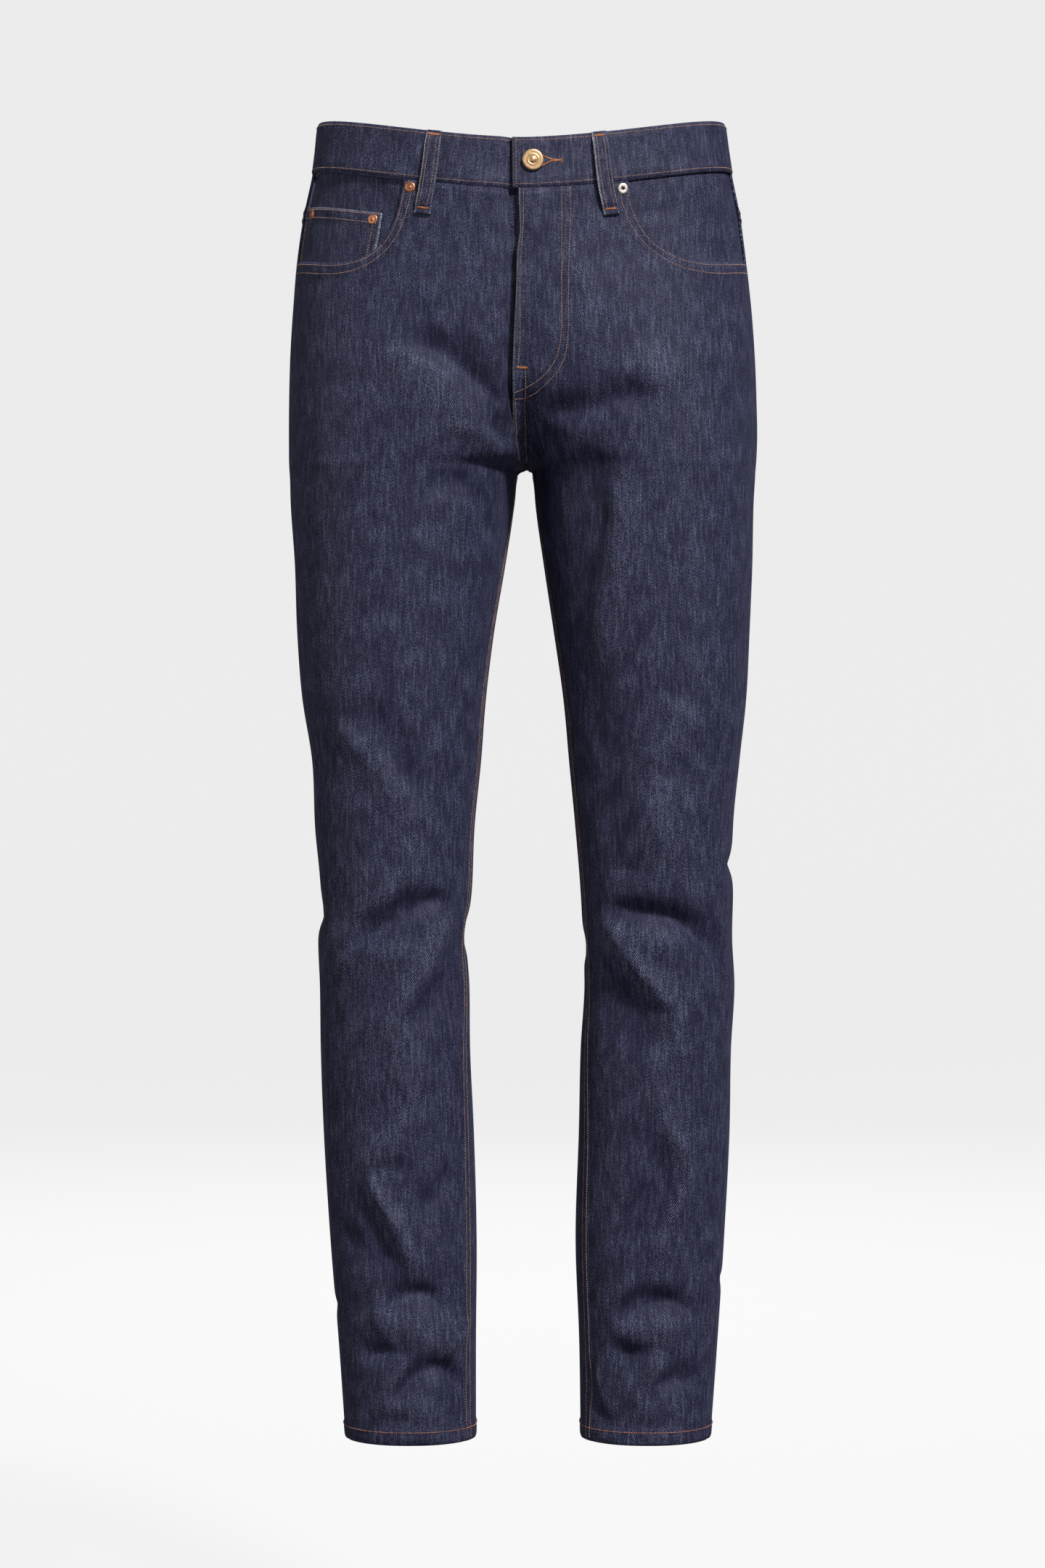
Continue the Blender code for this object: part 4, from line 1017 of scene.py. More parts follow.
# ==== backs, yokes and back pockets ==============================================================
# The two backs and the yokes above them, joined by felled seams, and a five-cornered patch pocket on
# each back, hemmed at its top and sewn down with two rows.
YOKE_SIDE = 38 * MM                      # depth of the yoke at the side seam
YOKE_MIDDLE = 72 * MM                    # and at the middle of the back
BACK_POCKET_WALL = 0.0013
BACK_POCKET_COLUMNS = (2, 10)
BACK_POCKET_ROWS = (1, 7)
BACK_POCKET_HANG = (0.15, 0.9)           # rows below those, at its corners and at its point
BACK_POCKET_GAP = 0.5 * MM
PATCH_CUT = (0.003, 0.001, 0)            # the patches' weave is a little off the back's
PATCH_TURN = 9 * MM                      # of their sides
PATCH_HEM = 14 * MM                      # and of their top,
PATCH_PROUD = 0.35 * MM                  # which stand out by this
PATCH_ROLL = (0.5 * MM, 0.8 * MM)        # how far, and how wide, their edges round off


def back_inner_angle(leg, height):
    """Angle of the seat seam above the crotch, and of the inseam below it."""
    return np.where(height >= CROTCH_HEIGHT, 360 - angle_at(leg, seam_plane(height), height),
                    180 - seam("inseam", height))


def yoke_depth(part):
    return YOKE_MIDDLE + (YOKE_SIDE - YOKE_MIDDLE) * part


def back_angle(leg, inner_height, outer_height, part):
    inner = back_inner_angle(leg, inner_height) + edge_angle(leg, inner_height)
    outer = 360 + seam("outseam", outer_height) - edge_angle(leg, outer_height)
    return inner + (outer - inner) * part


def yoke_place(leg, part, down):
    """Angle and height on a yoke, whose part and down run from 0 to 1."""
    middle = waist_seam(leg, 270.0) - yoke_depth(0) * down
    side = waist_seam(leg, 360.0) - yoke_depth(1) * down
    angle = back_angle(leg, middle, side, part)
    return angle, waist_seam(leg, angle) - yoke_depth(part) * down


def back_place(leg, part, row):
    """Angle and height on a back: part 0 is the seat seam and inseam, part 1 the side seam."""
    middle_top = waist_seam(leg, 270.0) - yoke_depth(0) - SEAM_GAP
    side_top = waist_seam(leg, 360.0) - yoke_depth(1) - SEAM_GAP
    top = waist_seam(leg, back_angle(leg, middle_top, side_top, part)) - yoke_depth(part) - SEAM_GAP
    inner_height = panel_heights(middle_top, np.zeros_like(row), row)
    outer_height = panel_heights(side_top, np.ones_like(row), row)
    return back_angle(leg, inner_height, outer_height, part), panel_heights(top, part, row)


def back_point(leg, part, row, lift):
    angle, height = back_place(leg, part, row)
    return cloth(leg, angle, height, lift + hem_lift(height))


def back_flat(leg, part, row):
    return flat_place(leg, *back_place(leg, part, row), BACK)


def yoke_point(leg, part, down, lift):
    return cloth(leg, *yoke_place(leg, part, down), lift)


def yoke_flat(leg, part, down):
    return flat_place(leg, *yoke_place(leg, part, down), BACK)


def pocket_row(column, row):
    """Row of the back panel under each place of its pocket, whose last row hangs down in a point."""
    first, last = BACK_POCKET_COLUMNS
    top, bottom = BACK_POCKET_ROWS
    corner_hang, middle_hang = BACK_POCKET_HANG
    from_middle = abs(2 * (column - first) / (last - first) - 1)
    hang = middle_hang + (corner_hang - middle_hang) * from_middle
    return top + (bottom - top + hang) * row


def pocket_point(leg, column, row, lift):
    lift = lift + BACK_POCKET_GAP + BACK_POCKET_WALL
    return back_point(leg, column / PANEL_COLUMNS, pocket_row(column, row), lift)


def pocket_flat(leg, column, row):
    return back_flat(leg, column / PANEL_COLUMNS, pocket_row(column, row)) + PATCH_CUT


def back_relief(edges, column, row):
    """Relief of a back: dented side seam, felled seat, rolled hem."""
    lift = felled(edges["first"]) - SEAM_DENT * ridge(edges["last"], DENT_WIDTH)
    return lift - EDGE_ROLL * ridge(edges["bottom"], ROLL_WIDTH)


def yoke_relief(edges, column, row):
    return back_relief(edges, column, row) + felled(edges["bottom"])


def pocket_relief(edges, column, row):
    """Relief of a back pocket: its turned edges and its hem stand out."""
    nearest = np.minimum.reduce([edges["first"], edges["last"], edges["bottom"]])
    hem = ease(PATCH_HEM + MM, PATCH_HEM, edges["top"])
    turned = np.maximum(ease(PATCH_TURN + MM, PATCH_TURN, nearest), hem)
    return PATCH_PROUD * turned - PATCH_ROLL[0] * ridge(np.minimum(nearest, edges["top"]), PATCH_ROLL[1])


backs, yokes, back_pockets = {}, {}, {}
for leg in SIDE:
    backs[leg] = Cloth("back_" + leg + "_cloth", crowded(104), PANEL_STEPS,
                       partial(back_point, leg), CLOTH_WALL, partial(back_flat, leg), relief=back_relief)
    settle(backs[leg], "back_" + leg)
    yokes[leg] = Cloth("yoke_" + leg + "_cloth", crowded(70), np.linspace(0, 1, 26),
                       partial(yoke_point, leg), CLOTH_WALL, partial(yoke_flat, leg), relief=yoke_relief)
    settle(yokes[leg], "yoke_" + leg)
    back_pockets[leg] = Cloth(
        "pocket_" + leg + "_cloth", np.linspace(*BACK_POCKET_COLUMNS, 55), np.linspace(0, 1, 55),
        partial(pocket_point, leg), BACK_POCKET_WALL, partial(pocket_flat, leg), relief=pocket_relief)
    settle(back_pockets[leg], "back_pocket_" + leg)


# ==== waistband ==================================================================================
# One straight strip of denim folded over the panels' top edge and sewn through along both its edges.
# Its left end, with the buttonhole, laps over its right end, which carries the button.
BAND_WALL = 0.0030                       # four layers in the waistband
BAND_PROUD = 0.0006                      # it stands out from the panels below it
BAND_START = -13.0                       # its right end, under the left one, in turns round the waist
BAND_END = 364.2                         # its left end, with the buttonhole
BAND_DIP = (3.2, 9.0)                    # the right end dips inwards between these turns
BAND_VALLEY = (5.0, 3.6, 1.8 * MM)       # and most beside the lap: turn, width in turns, depth
BAND_SWELL = 0.3 * MM                    # its middle stands out between its two rows of stitches,
SWELL_EDGES = (2 * MM, 7 * MM)           # rising between these distances from its edges,
BAND_ROLL = (0.7 * MM, 1.1 * MM)         # which round off this far, this wide
BAND_WEAR = 0.35                         # how pale its left end's fold is
BAND_CUT = (0.4, 0.3, 0)                 # it is cut from another place of the cloth than the fronts
BAND_RADIUS = 0.142                      # of a ring as long as the band


def waist_place(turn, above_seam):
    """Leg, angle and height for a turn round the waist: 0 the middle front, 90 the right side."""
    on_right = (turn >= 0) & (turn < 180)
    angle = np.where(on_right, 90 - turn, (turn + 90) % 360)
    rise = np.where(on_right, waist_rise("right", angle), waist_rise("left", angle))
    return on_right, angle, rise - BAND_HEIGHT / 2 + above_seam


def waist_point(turn, above_seam, lift):
    """Points round the waist, this much above (or below) the waist seam."""
    on_right, angle, height = waist_place(turn, above_seam)
    right, left = (cloth(leg, angle, height, lift) for leg in SIDE)
    return np.where(on_right[..., None], right, left)


def waist_flat(turn, above_seam):
    """Place on the flat cloth of a place round the waist."""
    return np.stack([np.radians(turn) * BAND_RADIUS, above_seam, 0 * turn], axis=-1)


def lay_band(turn, above, lift):
    proud = BAND_PROUD - (BAND_WALL + LAYER_GAP) * (1 - ease(*BAND_DIP, turn))
    proud = proud - BAND_VALLEY[2] * ridge(turn - BAND_VALLEY[0], BAND_VALLEY[1])
    return waist_point(turn, above, lift + proud)


def band_relief(edges, column, row):
    """Relief of the waistband: rolled edges, a little swell between its stitches."""
    nearest = np.minimum.reduce([edges["top"], edges["bottom"], edges["last"]])
    return BAND_SWELL * ease(*SWELL_EDGES, nearest) - BAND_ROLL[0] * ridge(nearest, BAND_ROLL[1])


BAND_LINES = SEAM_GAP / 2 + (BAND_HEIGHT - SEAM_GAP / 2) * (1 - crowded(27, 0.8))
band = Cloth("waistband_cloth", np.linspace(BAND_START, BAND_END, 520), BAND_LINES, lay_band, BAND_WALL,
             lambda turn, above: waist_flat(turn, above) + BAND_CUT, inside=denim, relief=band_relief,
             wear=lambda edges, column, row: BAND_WEAR * ridge(edges["last"], EDGE_WEAR))
settle(band, "waistband")


# ==== belt loops =================================================================================
# Five narrow strips of folded denim with two rows of stitches, sewn down by a dense bar tack at each
# end, above the waistband and below the waist seam, and standing off between for the belt.
LOOPS = {                                # turn round the waist at the top and at the bottom
    "belt_loop_front_right": (35.3, 35.4),
    "belt_loop_side_right": (103.0, 103.0),
    "belt_loop_back": (180.0, 180.0),
    "belt_loop_side_left": (257.0, 257.0),
    "belt_loop_front_left": (328.9, 328.2),
}
WAIST_RADIUS = 0.135                     # mean radius of the waist
LOOP_WIDTH = 0.013
LOOP_WALL = 0.0018
LOOP_SEAT = 0.0004                       # gap below its sewn ends
LOOP_STAND = 0.0032                      # gap below its middle, where a belt goes
LOOP_ABOVE = 0.0002                      # it stands this much above the waistband
LOOP_BELOW = 0.0262                      # and runs this much below the waist seam
LOOP_STEP = 0.0080                       # height over which it steps up onto the waistband
LOOP_SHAPE = (                           # part of its length from the top, part of its stand-off
    (0.00, 0.0), (0.06, 0.0), (0.12, 0.75), (0.18, 1.0), (0.34, 1.0), (0.50, 1.0), (0.66, 1.0),
    (0.82, 1.0), (0.88, 0.75), (0.94, 0.0), (1.00, 0.0),
)
LOOP_LENGTH = BAND_HEIGHT + LOOP_ABOVE + LOOP_BELOW
LOOP_ROLL = (0.6 * MM, 0.9 * MM)         # how far, and how wide, its folds round off
LOOP_WEAR = (("first", 0.3, 0.4 * MM, 0.4 * MM),   # edge, how pale, how far in, how wide
             ("last", 1.0, 0.6 * MM, 0.5 * MM))
LOOP_CUT = (0.7, 0.9, 0)


def loop_place(turns, across, part):
    """Turn and height above the waist seam of a place on a loop."""
    turn = turns[0] + (turns[1] - turns[0]) * part + across * np.degrees(LOOP_WIDTH / WAIST_RADIUS)
    return turn, BAND_HEIGHT + LOOP_ABOVE - LOOP_LENGTH * part


def lay_loop(turns, across, part, lift):
    turn, above = loop_place(turns, across, part)
    stand = np.interp(part, *np.array(LOOP_SHAPE).T)
    on_band = BAND_PROUD * ease(-LOOP_STEP, 0, above)
    off = on_band + LOOP_SEAT + (LOOP_STAND - LOOP_SEAT) * stand + LOOP_WALL
    return waist_point(turn, above, lift + off)


def loop_wear(edges, column, row):
    """The pale weft that shows along a loop's folded edges."""
    return sum(pale * ridge(edges[edge] - place, width) for edge, pale, place, width in LOOP_WEAR)


def loop_relief(edges, column, row):
    return -LOOP_ROLL[0] * ridge(np.minimum(edges["first"], edges["last"]), LOOP_ROLL[1])


def loop_flat(turns, across, part):
    return waist_flat(*loop_place(turns, across, part)) + LOOP_CUT


loops = {}
for name, turns in LOOPS.items():
    loops[name] = Cloth(
        name + "_cloth", crowded(19, 0.8) - 0.5, np.linspace(0, 1, 60), partial(lay_loop, turns), LOOP_WALL,
        partial(loop_flat, turns), inside=denim, relief=loop_relief, wear=loop_wear)
    settle(loops[name], name)


# ==== seams and topstitching =====================================================================
# Lockstitched rows of tobacco cotton thread: two along the inseams, seat, yokes, pockets and the fly's J,
# one beside each edge of the waistband and round each hem, none along the outer side seams. Dense orange
# bar tacks hold the loops' ends and the fly, and the same thread edges the buttonhole.
def sewing_tree():
    """A bead of thread at every step along each row, lying along it or turned across it."""
    tree = bpy.data.node_groups.new("stitches", "GeometryNodeTree")
    tree.interface.new_socket("Rows", in_out="INPUT", socket_type="NodeSocketGeometry")
    for name in ("Pitch", "Length", "Width", "Height", "Turn"):
        tree.interface.new_socket(name, in_out="INPUT", socket_type="NodeSocketFloat")
    tree.interface.new_socket("Thread", in_out="INPUT", socket_type="NodeSocketMaterial")
    tree.interface.new_socket("Stitches", in_out="OUTPUT", socket_type="NodeSocketGeometry")
    graph = Graph(tree)

    def given(name):
        return graph.node("NodeGroupInput", None, (), name)

    curves = graph.node("GeometryNodeMeshToCurve", None, [given("Rows")])
    steps = graph.node("GeometryNodeResampleCurve", {"mode": "LENGTH"},
                       {"Curve": curves, "Length": given("Pitch")})
    out = graph.node("GeometryNodeInputNamedAttribute", {"data_type": "FLOAT_VECTOR"},
                     {"Name": "out"}, "Attribute")
    tangent = graph.node("GeometryNodeInputTangent")
    upright = graph.node("FunctionNodeAlignRotationToVector", {"axis": "Z"}, {"Vector": out})
    lying = graph.node("FunctionNodeAlignRotationToVector", {"axis": "X", "pivot_axis": "Z"},
                       {"Rotation": upright, "Vector": tangent})
    angles = graph.node("ShaderNodeCombineXYZ", None, {"Z": given("Turn")})
    turn = graph.node("FunctionNodeEulerToRotation", None, [angles])
    turned = graph.node("FunctionNodeRotateRotation", {"rotation_space": "LOCAL"},
                        {"Rotation": lying, "Rotate By": turn})
    bead = graph.node("GeometryNodeMeshUVSphere", None, {"Segments": 6, "Rings": 4, "Radius": 0.5})
    smooth = graph.node("GeometryNodeSetShadeSmooth", None, {"Geometry": bead})
    size = graph.node("ShaderNodeCombineXYZ", None, [given("Length"), given("Width"), given("Height")])
    beads = graph.node("GeometryNodeInstanceOnPoints", None,
                       {"Points": steps, "Instance": smooth, "Rotation": turned, "Scale": size})
    real = graph.node("GeometryNodeRealizeInstances", None, [beads])
    sewn = graph.node("GeometryNodeSetMaterial", None, {"Geometry": real, "Material": given("Thread")})
    graph.node("NodeGroupOutput", None, [sewn])
    return tree


def spun_thread(name, colour):
    """Twisted cotton thread: fine slanting plies, a little uneven in its dye."""
    material, graph = new_graph(name)
    place = graph.node("ShaderNodeTexCoord", None, (), "Object")
    dye = graph.node("ShaderNodeTexNoise", None, {"Vector": place, "Scale": 260.0, "Detail": 2.0})
    plies = graph.node("ShaderNodeTexWave", {"bands_direction": "DIAGONAL"},
                       {"Vector": place, "Scale": 900.0, "Distortion": 1.0}, "Fac")
    tint = graph.mix(dye.ramp(0.3, 0.7), shade(colour, 0.62), shade(colour, 1.35))
    graph.surface({"Base Color": tint, "Roughness": 0.62, "Specular IOR Level": 0.35, "Sheen Weight": 0.25,
                   "Normal": graph.bump(plies, 0.3, 0.2 * MM)})
    return material


tobacco = spun_thread("tobacco_thread", (0.42, 0.24, 0.18))
rust = spun_thread("rust_thread", (0.56, 0.21, 0.085))
stitches = sewing_tree()
THREAD_LIFT = 0.08 * MM                  # the stitches' middles, above the cloth
SIZES = {                                # a stitch's pitch, length, width, height and turn across the row
    "row": (1.9 * MM, 1.5 * MM, 0.78 * MM, 0.85 * MM, 0.2),
    "tack": (0.46 * MM, 2.4 * MM, 0.55 * MM, 0.9 * MM, radians(84)),
    "edging": (0.42 * MM, 1.5 * MM, 0.46 * MM, 0.8 * MM, radians(86)),
}


def sew(name, rows, thread, kind):
    """Sews rows, each a list of points and of directions out of the cloth there."""
    points = np.concatenate([row[0] for row in rows])
    outs = np.concatenate([row[1] for row in rows])
    ends = np.cumsum([len(row[0]) for row in rows])
    links = [(i, i + 1) for i in range(len(points) - 1) if i + 1 not in ends]
    mesh = bpy.data.meshes.new(name)
    mesh.from_pydata((points + outs * THREAD_LIFT).tolist(), links, [])
    mesh.attributes.new("out", "FLOAT_VECTOR", "POINT").data.foreach_set("vector", outs.ravel())
    piece = new_piece(name, mesh)
    sewing = piece.modifiers.new("sewing", "NODES")
    sewing.node_group = stitches
    values = dict(zip(("Pitch", "Length", "Width", "Height", "Turn"), SIZES[kind]), Thread=thread)
    for socket in stitches.interface.items_tree:
        if socket.in_out == "INPUT" and socket.name in values:
            sewing[socket.identifier] = values[socket.name]
    sewn = bpy.data.meshes.new_from_object(piece.evaluated_get(bpy.context.evaluated_depsgraph_get()))
    piece.modifiers.clear()
    piece.data = sewn
    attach(piece, "root")
    return piece


def row_beside(laid, edge, inset, start=0, end=None, skip=0):
    """A row this far in from one edge of a piece, or from the line that follows the skipped ones.

    start and end count the piece's lines across the edge.
    """
    points, outs, inward = laid.outer, laid.normals, laid.edges[edge]
    if edge in ("first", "last"):
        points, outs, inward = points.swapaxes(0, 1), outs.swapaxes(0, 1), inward.T
    if edge in ("last", "bottom"):
        points, outs, inward = points[::-1], outs[::-1], inward[::-1]
    inward = inward - inward[skip]
    lines = range(points.shape[1])[start:end]
    row = [np.array([[np.interp(inset, inward[:, j], values[:, j, k]) for k in range(3)] for j in lines])
           for values in (points, outs)]
    return row[0], row[1] / np.linalg.norm(row[1], axis=1, keepdims=True)


SEWN_FROM = -0.3                         # rows are dropped onto the front from this far forward,
SEWN_REACH = 0.35                        # at most this far


def row_onto(pieces, starts, targets):
    """A row where lines from starts towards targets first meet one of the pieces."""
    points, outs = [], []
    for start, target in zip(starts, targets):
        aim = Vector(target - start).normalized()
        hits = [laid.tree.ray_cast(Vector(start), aim, SEWN_REACH) for laid in pieces]
        hits = [hit for hit in hits if hit[0] is not None]
        if hits:
            place, out = min(hits, key=lambda hit: hit[3])[:2]
            points.append(place)
            outs.append(-out if out.dot(aim) > 0 else out)
    return np.array(points), np.array(outs)


def front_row(corners, step=2 * MM):
    """A row on the fronts through corners given as X and height in millimetres."""
    path = smooth_path(corners, step)
    starts = np.stack([path[:, 0], np.full(len(path), SEWN_FROM), path[:, 1]], axis=-1)
    return row_onto([fronts["left"], fronts["right"], band], starts, starts + [0, 1, 0])


MOUTH_MARGIN = 0.4                       # the mouths' rows end this many degrees before the side seam


def mouth_row(leg, inset):
    """A row round a pocket's mouth, this far below and inside its edge."""
    angle, drop = mouth(leg, np.linspace(0, 1, 60))
    height = waist_seam(leg, angle) - drop
    flat = flat_place(leg, angle, height)[:, :2]
    along = np.gradient(flat, axis=0)
    along /= np.linalg.norm(along, axis=1, keepdims=True)
    inward = np.stack([along[:, 1], -along[:, 0]], axis=-1)
    inward *= -np.sign(inward[len(inward) // 2, 1])
    shifted = flat + inward * inset
    per_degree = (flat_place(leg, angle + 0.5, height) - flat_place(leg, angle - 0.5, height))[:, 0]
    angle = angle + (shifted - flat)[:, 0] / per_degree
    height = height + (shifted - flat)[:, 1]
    keep = (height < waist_seam(leg, angle) - MM) & (angle > seam("outseam", height) + MOUTH_MARGIN)
    starts = cloth(leg, angle, height, 12 * MM)[keep]
    return row_onto([fronts[leg]], starts, cloth(leg, angle, height)[keep])


TACK_HALF = 0.34                         # a loop's tack reaches this part of its width to each side


def loop_tack(name, above_end, top):
    """A bar tack across a loop, this far from its end."""
    part = above_end / LOOP_LENGTH if top else 1 - above_end / LOOP_LENGTH
    across = np.linspace(-TACK_HALF, TACK_HALF, 9)
    part = np.full_like(across, part)
    starts = lay_loop(LOOPS[name], across, part, 10 * MM)
    return row_onto([loops[name]], starts, lay_loop(LOOPS[name], across, part, 0.0))


FLY_EDGE = ((0.6, -50.5), (0.5, -80), (-0.6, -95), (-1.7, -110), (-2.1, -130), (-2.4, -178.2),
            (-3.4, -192))
FLY_INNER = ((31.2, -50.5), (31.2, -80), (31.2, -105), (31.0, -140), (30.7, -168), (28, -183),
             (22.0, -194.5), (13.5, -203), (3.2, -208.8), (-5.6, -212.6))
CROTCH_ROWS = (((-5.8, -219), (-4.8, -245), (-3.5, -263)), ((1.7, -219), (2.6, -245), (3.5, -263)))
FLY_UPRIGHT = ((2.3, -194.5), (2.4, -206), (2.3, -218))
FLY_TACK = ((-4.6, -193.2), (0, -193.4), (4.0, -193.5))

LAPS = len(LAP_STEPS)
MOUTH_ROWS = (2.4 * MM, 9.0 * MM)        # each pair of rows, in from its edge
INSEAM_ROWS = (3.0 * MM, 9.2 * MM)
rows = []
for leg in SIDE:
    rows += [mouth_row(leg, inset) for inset in MOUTH_ROWS]
    rows += [row_beside(fronts[leg], "first", inset, CROTCH_LINE, -2, LAPS) for inset in INSEAM_ROWS]
sew("front_topstitching", rows, tobacco, "row")

FELL_ROWS = (2.0 * MM, 8.2 * MM)
PATCH_TOP_ROWS = (2.5 * MM, 12.0 * MM)
PATCH_ROWS = ((1.6 * MM, 1), (7.6 * MM, 3))   # and how many lines before the corners they end
rows = []
for leg in SIDE:
    patch = back_pockets[leg]
    rows += [row_beside(yokes[leg], "bottom", inset, 1, -1) for inset in FELL_ROWS]
    rows += [row_beside(patch, "top", inset, 1, -1) for inset in PATCH_TOP_ROWS]
    for inset, short in PATCH_ROWS:
        rows += [row_beside(patch, edge, inset, short, -short) for edge in ("first", "last", "bottom")]
rows += [row_beside(backs["left"], "first", inset, 1, CROTCH_LINE - 2) for inset in FELL_ROWS]
rows += [row_beside(yokes["left"], "first", inset, 1, -1) for inset in FELL_ROWS]
sew("back_topstitching", rows, tobacco, "row")

COIN_ROWS = (("top", 2.0, 1, -2), ("top", 8.6, 1, -2),   # edge, inset in mm, first and last line
             ("last", 7.2, 6, -1), ("first", 3.0, 6, -1), ("first", 8.0, 6, -1))
rows = [front_row(path) for path in (FLY_EDGE, FLY_OUTER, FLY_INNER, FLY_UPRIGHT, *CROTCH_ROWS)]
rows += [row_beside(coin, edge, inset * MM, *lines) for edge, inset, *lines in COIN_ROWS]
sew("fly_and_coin_topstitching", rows, tobacco, "row")

BAND_LAP = 15                            # the waistband's first lines are hidden under its other end
BAND_ROWS = (("top", 2.8, BAND_LAP, -3), ("bottom", 3.0, BAND_LAP, -3), ("last", 3.0, 2, -2))
LOOP_ROW = 3.3 * MM
rows = [row_beside(band, edge, inset * MM, *lines) for edge, inset, *lines in BAND_ROWS]
for name in LOOPS:
    rows += [row_beside(loops[name], edge, LOOP_ROW, 3, -4) for edge in ("first", "last")]
sew("waist_topstitching", rows, tobacco, "row")

HEM_ROW = 10.6 * MM
rows = []
for leg in SIDE:
    rows += [row_beside(fronts[leg], "bottom", HEM_ROW, LAPS), row_beside(backs[leg], "bottom", HEM_ROW)]
sew("hem_topstitching", rows, rust, "row")

BUTTONHOLE = (                           # above the slit, below it, and across its end
    ((14.5, -24.0), (24.3, -27.8), (31, -28.0)),
    ((14.5, -33.2), (24.3, -28.9), (31, -28.6)),
    ((31.3, -26.2), (31.4, -28.3), (31.3, -30.4)),
)
sew("buttonhole", [front_row(path, MM) for path in BUTTONHOLE], rust, "edging")

TACK_PLACES = ((3.2 * MM, True), (4.6 * MM, False))   # from the loops' upper and lower ends
tacks = [front_row(FLY_TACK, MM)]
for name in LOOPS:
    tacks += [loop_tack(name, *place) for place in TACK_PLACES]
sew("bar_tacks", tacks, rust, "tack")


# ==== button and rivets ==========================================================================
# A turned brass shank button, its face with a raised middle and a rolled rim, and riveted copper caps
# at the pocket's mouth and the coin pocket. The left mouth's rivet is a pale nickel one.
BUTTON_TURN = -4.4                       # just to the wearer's left of the middle
BUTTON_ABOVE = 0.0220                    # above the waist seam
BUTTON_PROFILE = (                       # radius and height, from the top of the face to the foot
    (0.0, 4.7), (0.9, 4.62), (1.7, 4.35), (2.4, 3.9), (2.8, 3.5), (3.05, 3.2), (3.35, 3.2), (3.8, 3.55),
    (4.2, 3.65), (4.6, 3.55), (4.95, 3.25), (5.4, 3.2), (6.5, 3.35), (7.4, 3.35), (7.9, 3.2), (8.3, 2.85),
    (8.5, 2.35), (8.42, 1.85), (7.9, 1.45), (2.6, 1.2), (2.4, 0.0), (0.0, 0.0),
)
RIVET_PROFILE = (
    (0.0, 1.75), (0.5, 1.68), (0.95, 1.4), (1.15, 1.05), (1.35, 0.98), (1.8, 1.15), (2.6, 1.25), (3.4, 1.15),
    (4.0, 0.85), (4.35, 0.45), (4.45, 0.0), (0.0, 0.0),
)
WASHER_PROFILE = (
    (0.0, 0.95), (0.35, 0.88), (0.65, 0.6), (0.8, 0.25), (1.15, 0.2), (1.3, 0.8), (1.6, 1.2), (2.3, 1.35),
    (3.5, 1.3), (4.15, 1.05), (4.5, 0.5), (4.55, 0.0), (0.0, 0.0),
)
WASHER_SHADE_RADIUS = 1.25                       # its middle is painted dark up to this radius: painted shade in the hole, over the post's own dark brown
RIVETS = {                               # leg, angle, drop below the waist seam, how deep it sits
    "rivet_mouth_right": ("right", 48.6, 6.0 * MM, -FELL_PROUD),
    "rivet_coin_side": ("right", 12.4, 34.8 * MM, CLOTH_WALL + LAYER_GAP),
    "rivet_coin_inner": ("right", 38.2, 34.4 * MM, CLOTH_WALL + LAYER_GAP),
    "rivet_mouth_left": ("left", 52.3, 6.2 * MM, -FELL_PROUD),
}


def turned_metal(name, colour, roughness):
    """Plated metal, matt from tumbling, with a slight stain that varies at random over it."""
    material, graph = new_graph(name)
    place = graph.node("ShaderNodeTexCoord", None, (), "Object")
    stain = graph.node("ShaderNodeTexNoise", None, {"Vector": place, "Scale": 700.0, "Detail": 3.0})
    pits = graph.node("ShaderNodeTexNoise", None, {"Vector": place, "Scale": 4200.0, "Detail": 1.0})
    tint = graph.mix(stain.ramp(0.35, 0.7), shade(colour, 0.78), shade(colour, 1))
    graph.surface({"Base Color": tint, "Metallic": 1.0, "Roughness": stain * 0.12 + (roughness - 0.06),
                   "Normal": graph.bump(pits, 0.25, 0.1 * MM)})
    return material


def turned(name, profile, steps, place, materials, painted_shade_radius=0.0):
    """A piece turned about the line out of the cloth, at the place that this gives for each lift."""
    foot = place(0)
    out = place(MM) - foot
    turn = Vector((0, 0, 1)).rotation_difference(Vector(out))
    angles = np.arange(steps) * 2 * pi / steps
    points = [Vector(foot) + turn @ (Vector((radius * cos(angle), radius * sin(angle), height)) * MM)
              for radius, height in profile[1:-1] for angle in angles]
    points += [Vector(foot) + turn @ (Vector((0, 0, height)) * MM)
               for _, height in (profile[0], profile[-1])]
    rings = len(profile) - 2
    faces = [(ring * steps + i, (ring + 1) * steps + i, (ring + 1) * steps + (i + 1) % steps,
              ring * steps + (i + 1) % steps) for ring in range(rings - 1) for i in range(steps)]
    # Faces inside this radius take the second, dark material: painted shade in the hole.
    inner = [profile[ring + 2][0] < painted_shade_radius for ring in range(rings - 1) for i in range(steps)]
    faces += [(rings * steps, i, (i + 1) % steps) for i in range(steps)]
    faces += [(rings * steps + 1, (rings - 1) * steps + (i + 1) % steps, (rings - 1) * steps + i)
              for i in range(steps)]
    inner += [painted_shade_radius > 0] * steps + [False] * steps
    mesh = bpy.data.meshes.new(name)
    mesh.from_pydata(points, [], faces)
    for material in materials:
        mesh.materials.append(material)
    mesh.polygons.foreach_set("material_index", np.array(inner, np.int32))
    mesh.shade_smooth()
    piece = new_piece(name, mesh)
    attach(piece, "root")
    return piece


def button_place(lift):
    return waist_point(np.array(BUTTON_TURN), np.array(BUTTON_ABOVE), BAND_PROUD + BAND_SWELL + lift)


def rivet_place(leg, angle, drop, deep, lift):
    return cloth(leg, angle, waist_seam(leg, angle) - drop, lift - deep)


brass = turned_metal("button_brass", (0.95, 0.62, 0.34), 0.50)
copper = turned_metal("rivet_copper", (0.78, 0.33, 0.19), 0.44)
nickel = turned_metal("rivet_nickel", (0.98, 0.90, 0.82), 0.44)
